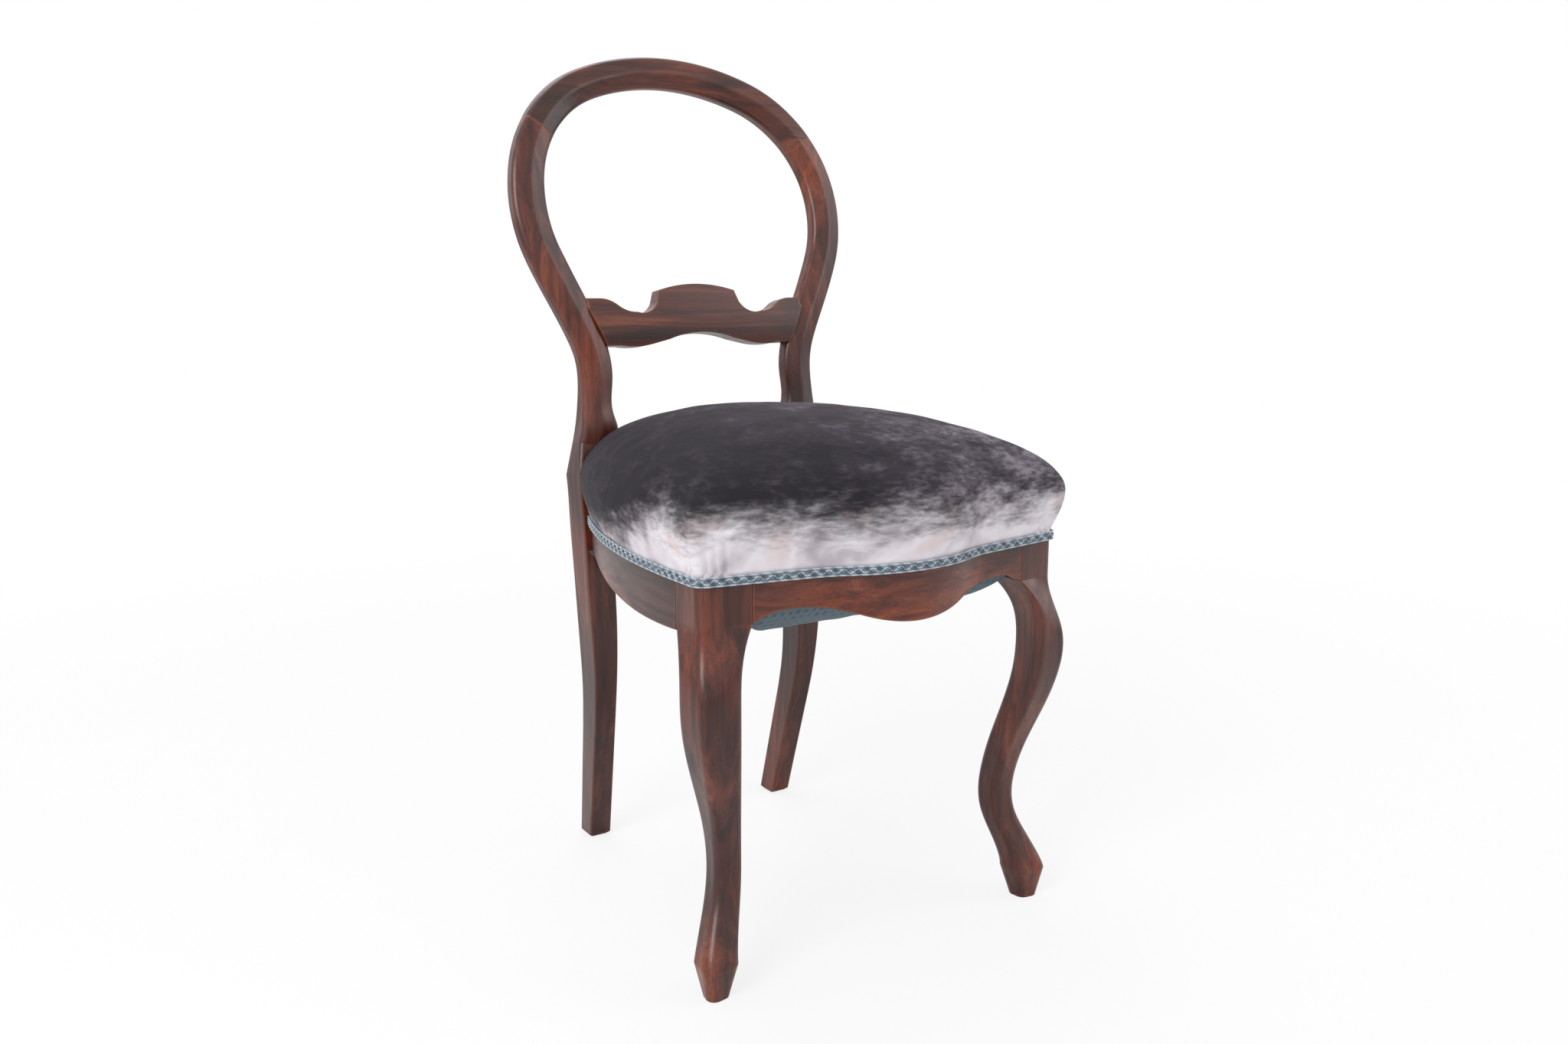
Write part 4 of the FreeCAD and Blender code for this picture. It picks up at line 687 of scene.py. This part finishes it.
@dataclass
class VelvetSeat:
    """Domed seat cover, drawn in over the braid and tucked round the posts."""

    plan: SeatPlan
    around: int = 880
    levels: int = 46
    low: float = 0.3872
    skirt_top: float = 0.397
    wood_top: float = 0.4285
    widest_at: float = 0.438
    widest: float = 1.046
    crown: float = 0.5195
    crown_shift: float = 0.045
    crown_power: float = 2.55
    crown_root: float = 1.8
    thick: float = 0.0021
    wood_gap: float = 0.0003
    hem: float = 0.0004
    fold_places: tuple[float, ...] = (-0.017, -0.009, 0.006, 0.014, 0.023)

    def notch(self, z: float) -> Point:
        """Inner side and front of the room round a post at a height.

        Args:
            z: height in metres.

        Returns:
            Distance from the middle plane, and depth, of the room's corner.
        """
        # Height, inner side and front of the room, in metres
        steps = ((0.388, 0.1268, 0.1315), (0.438, 0.1296, 0.1315), (0.471, 0.1198, 0.1360),
                 (0.508, 0.1142, 0.1378), (0.560, 0.1120, 0.1390))
        for (za, xa, ya), (zb, xb, yb) in zip(steps, steps[1:]):
            if z <= zb or (zb, xb, yb) == steps[-1]:
                share = min(1.0, max(0.0, (z - za) / (zb - za)))
                return xa + (xb - xa) * share, ya + (yb - ya) * share
        return steps[-1][1], steps[-1][2]

    def tuck(self, point: Vector) -> Vector:
        """Move a point of the cloth out of the posts, to the nearer side of their room.

        Args:
            point: point of the cloth.

        Returns:
            The same point, or the one on the edge of the room.
        """
        inner, front = self.notch(point.z)
        past_side = abs(point.x) - inner
        past_front = point.y - front
        if past_side <= 0 or past_front <= 0:
            return point
        if past_side < past_front:
            return Vector((math.copysign(inner, point.x), point.y, point.z))
        return Vector((point.x, front, point.z))

    def soft_loop(self, loop: Path) -> Path:
        """The outline with its corners worn round, as the dome's upper contours are.

        Args:
            loop: outline in plan.

        Returns:
            Rounded outline of the same mean size.
        """
        count = len(loop)
        reach = count // 9
        weights = [math.cos(math.pi / 2 * k / (reach + 1)) ** 2 for k in range(-reach, reach + 1)]
        soft = []
        for i in range(count):
            total = Vector((0.0, 0.0, 0.0))
            for k, weight in zip(range(-reach, reach + 1), weights):
                total += loop[(i + k) % count] * weight
            soft.append(total / sum(weights))
        mean_hard = sum((p - self.plan.middle).length for p in loop) / count
        mean_soft = sum((p - self.plan.middle).length for p in soft) / count
        return [self.plan.middle + (p - self.plan.middle) * (mean_hard / mean_soft) for p in soft]

    def profile(self) -> list[Point]:
        """Scale and height of each level of the cloth, from the braid to the crown.

        Returns:
            Pairs of scale and height.
        """
        steps = [(1.0, self.low), (1.0, (self.low + self.skirt_top) / 2), (1.0, self.skirt_top)]
        for i in range(1, 9):
            share = i / 8
            rise = self.widest_at - self.skirt_top
            out = (self.widest - 1.0) * math.sin(math.pi / 2 * share)
            steps.append((1.0 + out, self.skirt_top + rise * share ** 0.9))
        for i in range(1, self.levels):
            a = math.pi / 2 * i / self.levels
            share = math.cos(a) ** (2 / self.crown_power)
            rise = (math.sin(a) ** 2) ** (1 / self.crown_root)
            steps.append((self.widest * share, self.widest_at + (self.crown - self.widest_at) * rise))
        return steps

    def folds(self, along: float, z: float) -> float:
        """How far the small folds over the front corners and the tack pulls draw the cloth in.

        Args:
            along: distance round the seat from the nearer front corner, positive towards the front.
            z: height in metres.

        Returns:
            Depth in metres, negative inwards.
        """
        height = z - self.skirt_top
        depth = 0.0
        for k, place in enumerate(self.fold_places):
            lean = 0.10 * (1 if place > 0 else -1) * height
            width = 0.0024 + 0.05 * max(height, 0.0)
            fade = math.exp(-max(height, 0.0) / (0.024 + 0.008 * (k % 3)))
            depth -= 0.0036 * fade * math.exp(-((along - place - lean) / width) ** 2)
        pull = 0.5 + 0.5 * noise.noise(Vector((along * 75.0, 0.3, 0.0)))
        depth -= 0.0013 * pull * math.exp(-max(height, 0.0) / 0.012)
        return depth

    def contour(self, outline: Path, soft: Path, scale: float, z: float) -> Path:
        """One level of the cloth, with its worn corners, folds and slight waves.

        Args:
            outline: outline of the cloth in plan.
            soft: the same outline with its corners worn round.
            scale: size of the level against the outline.
            z: its height in metres.

        Returns:
            Points of the level.
        """
        girth = sum((outline[i] - outline[i - 1]).length for i in range(self.around))
        corner = max(range(self.around // 2), key=lambda i: outline[i].x - outline[i].y)
        corner_at = girth * corner / self.around
        blend = min(1.0, max(0.0, (self.widest - scale) / 0.5))
        blend = blend * blend * (3 - 2 * blend) * 0.85
        back = self.crown_shift * max(0.0, 1.0 - scale)
        ring = []
        for i in range(self.around):
            here = outline[i].lerp(soft[i], blend)
            point = self.plan.middle + (here - self.plan.middle) * scale
            point = Vector((point.x, point.y + back, z))
            out = (outline[i] - self.plan.middle).normalized()
            at = girth * i / self.around
            along = corner_at - at if i <= self.around // 2 else at - (girth - corner_at)
            if z > self.low + 0.001:
                point += out * self.folds(along, z)
                wave = noise.noise(point * 14.0) * 0.0016 + noise.noise(point * 42.0) * 0.0006
                lift = wave * 0.9 if z > self.widest_at else 0.0
                point += Vector((out.x * wave * 0.6, out.y * wave * 0.6, lift))
            ring.append(point)
        return ring

    def build(self, material: bpy.types.Material) -> bpy.types.Object:
        """Build the cover as one closed padded form.

        Args:
            material: the velvet.

        Returns:
            The cover.
        """
        outline = self.plan.loop(self.thick, self.around)
        soft = self.soft_loop(outline)
        inner = self.plan.loop(self.wood_gap, self.around)
        rings = [[Vector((p.x, p.y, z)) for p in inner] for z in (self.wood_top, self.low + self.hem)]
        rings += [self.contour(outline, soft, scale, z) for scale, z in self.profile()]
        points = [self.tuck(p) for ring in rings for p in ring]
        faces = ring_faces(len(rings), self.around, True)
        top = (len(rings) - 1) * self.around
        points.append(Vector((0.0, self.plan.middle.y + self.crown_shift, self.crown)))
        points.append(Vector((0.0, self.plan.middle.y, self.wood_top)))
        crown, base = len(points) - 2, len(points) - 1
        for i in range(self.around):
            j = (i + 1) % self.around
            faces.append((top + i, top + j, crown))
            faces.append((j, i, base))
        cover = smooth_mesh("velvet_seat", points, faces, material)
        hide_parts("velvet_cover", "seat_stuffing")
        return dress(cover)


@dataclass
class GimpTrim:
    """Scroll gimp over the tacked edge of the velvet: a woven band, two edge cords and two waving cords."""

    plan: SeatPlan
    low: float = 0.3876
    high: float = 0.3962
    wall: float = 0.0024
    wave_length: float = 0.0135
    wave_height: float = 0.0019
    cord: float = 0.0009
    band_edge: float = 0.0009
    band_crown: float = 0.0011
    scroll_proud: float = 0.0013
    behind_posts: float = 0.1262
    front_gap: float = 0.0012
    post_cord: float = 0.0012
    post_route: tuple[tuple[float, float, float], ...] = (
        (0.1525, 0.1302, 0.3995), (0.1560, 0.1298, 0.4120), (0.1585, 0.1298, 0.4260),
        (0.1575, 0.1302, 0.4400), (0.1530, 0.1320, 0.4530), (0.1460, 0.1335, 0.4640))

    def stretch(self, offset: float, back: bool) -> Path:
        """Path of the braid at an offset: round the front from post to post, or between the posts behind.

        Args:
            offset: distance outside the wood.
            back: whether it is the stretch behind.

        Returns:
            Points in plan, at height 0.
        """
        loop = self.plan.loop(offset, 1400)
        half = len(loop) // 2
        ordered = loop[half:] + loop[:half]
        if back:
            edge = self.plan.back_outer + offset - 1e-5
            line = [p for p in loop if p.y > edge and abs(p.x) < self.behind_posts]
            return even_points([line[0], line[-1]], 200)
        return even_points([p for p in ordered if p.y < self.plan.post_front - self.front_gap], 1150)

    def raised(self, path: Path, up: float) -> Path:
        """Path lifted from the floor to a height over the middle of the braid."""
        return [Vector((p.x, p.y, (self.low + self.high) / 2 + up)) for p in path]

    def build(self, dark: bpy.types.Material, pale: bpy.types.Material, band: bpy.types.Material) -> None:
        """Build the braid in front and behind.

        Args:
            dark: thread of one of the two waving cords.
            pale: thread of the edge cords and the other waving cord.
            band: woven ground.
        """
        half = (self.high - self.low) / 2
        section = [(0.0, -half), (self.band_edge, -half), (self.band_crown, 0.0), (self.band_edge, half),
                   (0.0, half)]
        edge_at = half - self.cord * 0.6
        for back, word in ((False, "front"), (True, "back")):
            line = self.raised(self.stretch(self.wall, back), 0.0)
            ground = swept("gimp_ground_" + word, line, section, band)
            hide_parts("gimp_braid_" + word)
            dress(ground)
            for up, edge in ((edge_at, "upper"), (-edge_at, "lower")):
                line = self.raised(self.stretch(self.wall + self.band_crown, back), up)
                cord = swept("gimp_edge_%s_%s" % (edge, word), line, round_section(self.cord * 0.85), pale)
                dress(cord)
            for phase, thread, strand in ((0.0, dark, "dark"), (math.pi, pale, "pale")):
                line = self.raised(self.stretch(self.wall + self.scroll_proud, back), 0.0)
                travelled = 0.0
                for i, point in enumerate(line):
                    travelled += math.dist(point.xy, line[i - 1].xy) if i else 0.0
                    turn = 2 * math.pi * travelled / self.wave_length + phase
                    point.z += self.wave_height * math.sin(turn)
                cord = swept("gimp_scroll_%s_%s" % (strand, word), line,
                             round_section(self.cord * 0.8, 6), thread)
                dress(cord)

    def post_cords(self, pale: bpy.types.Material) -> None:
        """Build the short cords that close the velvet's edge up the front of each post.

        Args:
            pale: thread of the cords.
        """
        for side, word in ((-1, "left"), (1, "right")):
            route = [Vector((side * x, y, z)) for x, y, z in self.post_route]
            cord = swept("post_cord_" + word, even_points(route, 60), round_section(self.post_cord), pale)
            dress(cord)


@dataclass
class DustCover:
    """Thin lining tacked under the seat, hanging in a belly."""

    plan: SeatPlan
    top: float = 0.3568
    sag: float = 0.042
    lip: float = 0.012
    thick: float = 0.0006
    rings: int = 24

    def corners(self) -> Path:
        """Edge of the lining, inside the rails and round the blocks and posts.

        Returns:
            Points in plan.
        """
        half = [(0.157, -0.203), (0.157, -0.165), (0.195, -0.165), (0.1915, -0.080), (0.178, 0.030),
                (0.156, 0.129), (0.1235, 0.129), (0.1235, 0.147)]
        left = [(-x, y) for x, y in reversed(half)]
        return [Vector((x, y, 0.0)) for x, y in half + left]

    def build(self, material: bpy.types.Material) -> bpy.types.Object:
        """Build the sheet.

        Args:
            material: lining cloth.

        Returns:
            The lining.
        """
        edge = self.corners()
        edge = even_points(edge + [edge[0]], 240)
        points = []
        for side in (0.0, self.thick):
            for r in range(self.rings):
                scale = 1.0 - r / self.rings
                drop = self.sag * (1 - scale ** 4.6)
                for p in edge:
                    flat = self.plan.middle + (p - self.plan.middle) * scale
                    ripple = noise.noise(Vector((flat.x * 40, flat.y * 40, 1.7))) * 0.0022 * (1 - scale ** 2)
                    points.append(Vector((flat.x, flat.y, self.top - drop + ripple + side)))
        count = len(edge)
        faces = [tuple(reversed(f)) for f in ring_faces(self.rings, count, True)]
        shift = self.rings * count
        faces += [tuple(i + shift for i in reversed(f)) for f in faces]
        points.append(Vector((self.plan.middle.x, self.plan.middle.y, self.top - self.sag)))
        points.append(Vector((self.plan.middle.x, self.plan.middle.y, self.top - self.sag + self.thick)))
        last = (self.rings - 1) * count
        for i in range(count):
            j = (i + 1) % count
            faces.append((last + j, last + i, len(points) - 2))
            faces.append((shift + last + i, shift + last + j, len(points) - 1))
            faces.append((i, j, shift + j, shift + i))
        lining = smooth_mesh("lining_sheet", points, faces, material)
        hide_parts("dust_cover")
        return dress(lining)


@dataclass
class Studio:
    """Pale floor, soft lamps and the camera at the photograph's angle."""

    camera_place: Vector = Vector((-0.738, -1.158, 0.639))
    camera_target: Vector = Vector((-0.003, -0.027, 0.398))
    lens_mm: float = 29.88
    floor_reach: float = 30.0

    def floor(self) -> None:
        """Lay a floor that renders white to the camera and keeps the shadows."""
        material, tree, shader = new_material("White paper floor")
        output = tree.nodes["Material Output"]
        tree.nodes.remove(shader)
        paper = add_node(tree, "ShaderNodeBsdfDiffuse", {"Color": linear("f4f4f4")})
        white = add_node(tree, "ShaderNodeEmission", {"Color": linear("ffffff"), "Strength": 1.0})
        seen = add_node(tree, "ShaderNodeLightPath")
        place = add_node(tree, "ShaderNodeTexCoord")
        out = add_node(tree, "ShaderNodeVectorMath", {0: (place, "Object")}, operation="LENGTH")
        far = add_node(tree, "ShaderNodeMapRange", {
            "Value": (out, "Value"), "From Min": 0.45, "From Max": 2.2, "To Min": 0.8, "To Max": 1.0},
            interpolation_type="SMOOTHSTEP")
        share = add_node(tree, "ShaderNodeMath", {
            0: (seen, "Is Camera Ray"), 1: (far, "Result")}, operation="MULTIPLY")
        mixed = add_node(tree, "ShaderNodeMixShader", {0: (share, 0), 1: (paper, 0), 2: (white, 0)})
        tree.links.new(mixed.outputs[0], output.inputs["Surface"])
        reach = self.floor_reach
        corners = [Vector((x, y, -0.0002)) for x, y in ((-reach, -reach), (reach, -reach), (reach, reach),
                                                        (-reach, reach))]
        floor = smooth_mesh("paper_floor", corners, [(0, 1, 2, 3)], material)

    def light(self) -> None:
        """Hang three soft lamps and set a plain white sky."""
        world = bpy.data.worlds.new("white room")
        bpy.context.scene.world = world
        world.use_nodes = True
        tree = world.node_tree
        tree.nodes.clear()
        seen = add_node(tree, "ShaderNodeLightPath")
        sharp = add_node(tree, "ShaderNodeMath", {
            0: (seen, "Is Camera Ray"), 1: (seen, "Is Glossy Ray")}, operation="MAXIMUM")
        clear = add_node(tree, "ShaderNodeMath", {
            0: (sharp, 0), 1: (seen, "Is Transmission Ray")}, operation="MAXIMUM")
        strength = add_node(tree, "ShaderNodeMapRange", {
            "Value": (clear, 0), "From Min": 0.0, "From Max": 1.0, "To Min": 0.55, "To Max": 1.0})
        room = add_node(tree, "ShaderNodeBackground", {
            "Color": linear("ffffff"), "Strength": (strength, "Result")})
        output = add_node(tree, "ShaderNodeOutputWorld")
        tree.links.new(room.outputs[0], output.inputs["Surface"])
        lamps = (("key", (-2.1, -1.0, 1.9), 1.4, 42.0), ("fill", (1.9, -1.3, 1.5), 1.6, 13.0),
                 ("top", (0.1, 0.9, 2.6), 1.4, 16.0))
        for name, place, width, power in lamps:
            data = bpy.data.lights.new(name, "AREA")
            data.energy = power
            data.size = width
            lamp = bpy.data.objects.new(name, data)
            bpy.context.scene.collection.objects.link(lamp)
            lamp.location = place
            lamp.rotation_euler = (Vector((0, 0, 0.45)) - Vector(place)).to_track_quat("-Z", "Y").to_euler()

    def camera(self) -> None:
        """Set up the camera, placed from the seat's datum."""
        datum = Vector((0.0, DATUM_Y, 0.0))
        data = bpy.data.cameras.new("camera")
        data.lens = self.lens_mm
        data.sensor_width = 36.0
        camera = bpy.data.objects.new("camera", data)
        bpy.context.scene.collection.objects.link(camera)
        camera.location = self.camera_place + datum
        camera.rotation_euler = (self.camera_target - self.camera_place).to_track_quat("-Z", "Y").to_euler()
        bpy.context.scene.camera = camera
        bpy.context.scene.view_settings.view_transform = "Standard"


def main() -> None:
    """Dress the frame, build the soft pieces and set up the studio."""
    logging.basicConfig(level=logging.INFO, format="%(message)s")
    plan = SeatPlan()
    WoodenFrame().finish()
    SeatInside().finish()
    VelvetSeat(plan).build(CrushedVelvet().make())
    trim = GimpTrim(plan)
    pale = RayonThread("pale blue grey", "b4bfc7", "8593a0").make()
    dark = RayonThread("slate", "56616f", "39434f").make()
    ground = RayonThread("grey ground", "83909c", "606c79").make()
    trim.build(dark, pale, ground)
    trim.post_cords(pale)
    lining = PlainWeave("Cotton lining", "5c6b75", "45525c", thread_mm=1.4, bump_mm=0.25)
    DustCover(plan).build(lining.make())
    studio = Studio()
    studio.floor()
    studio.light()
    studio.camera()


if __name__ == "__main__":
    main()
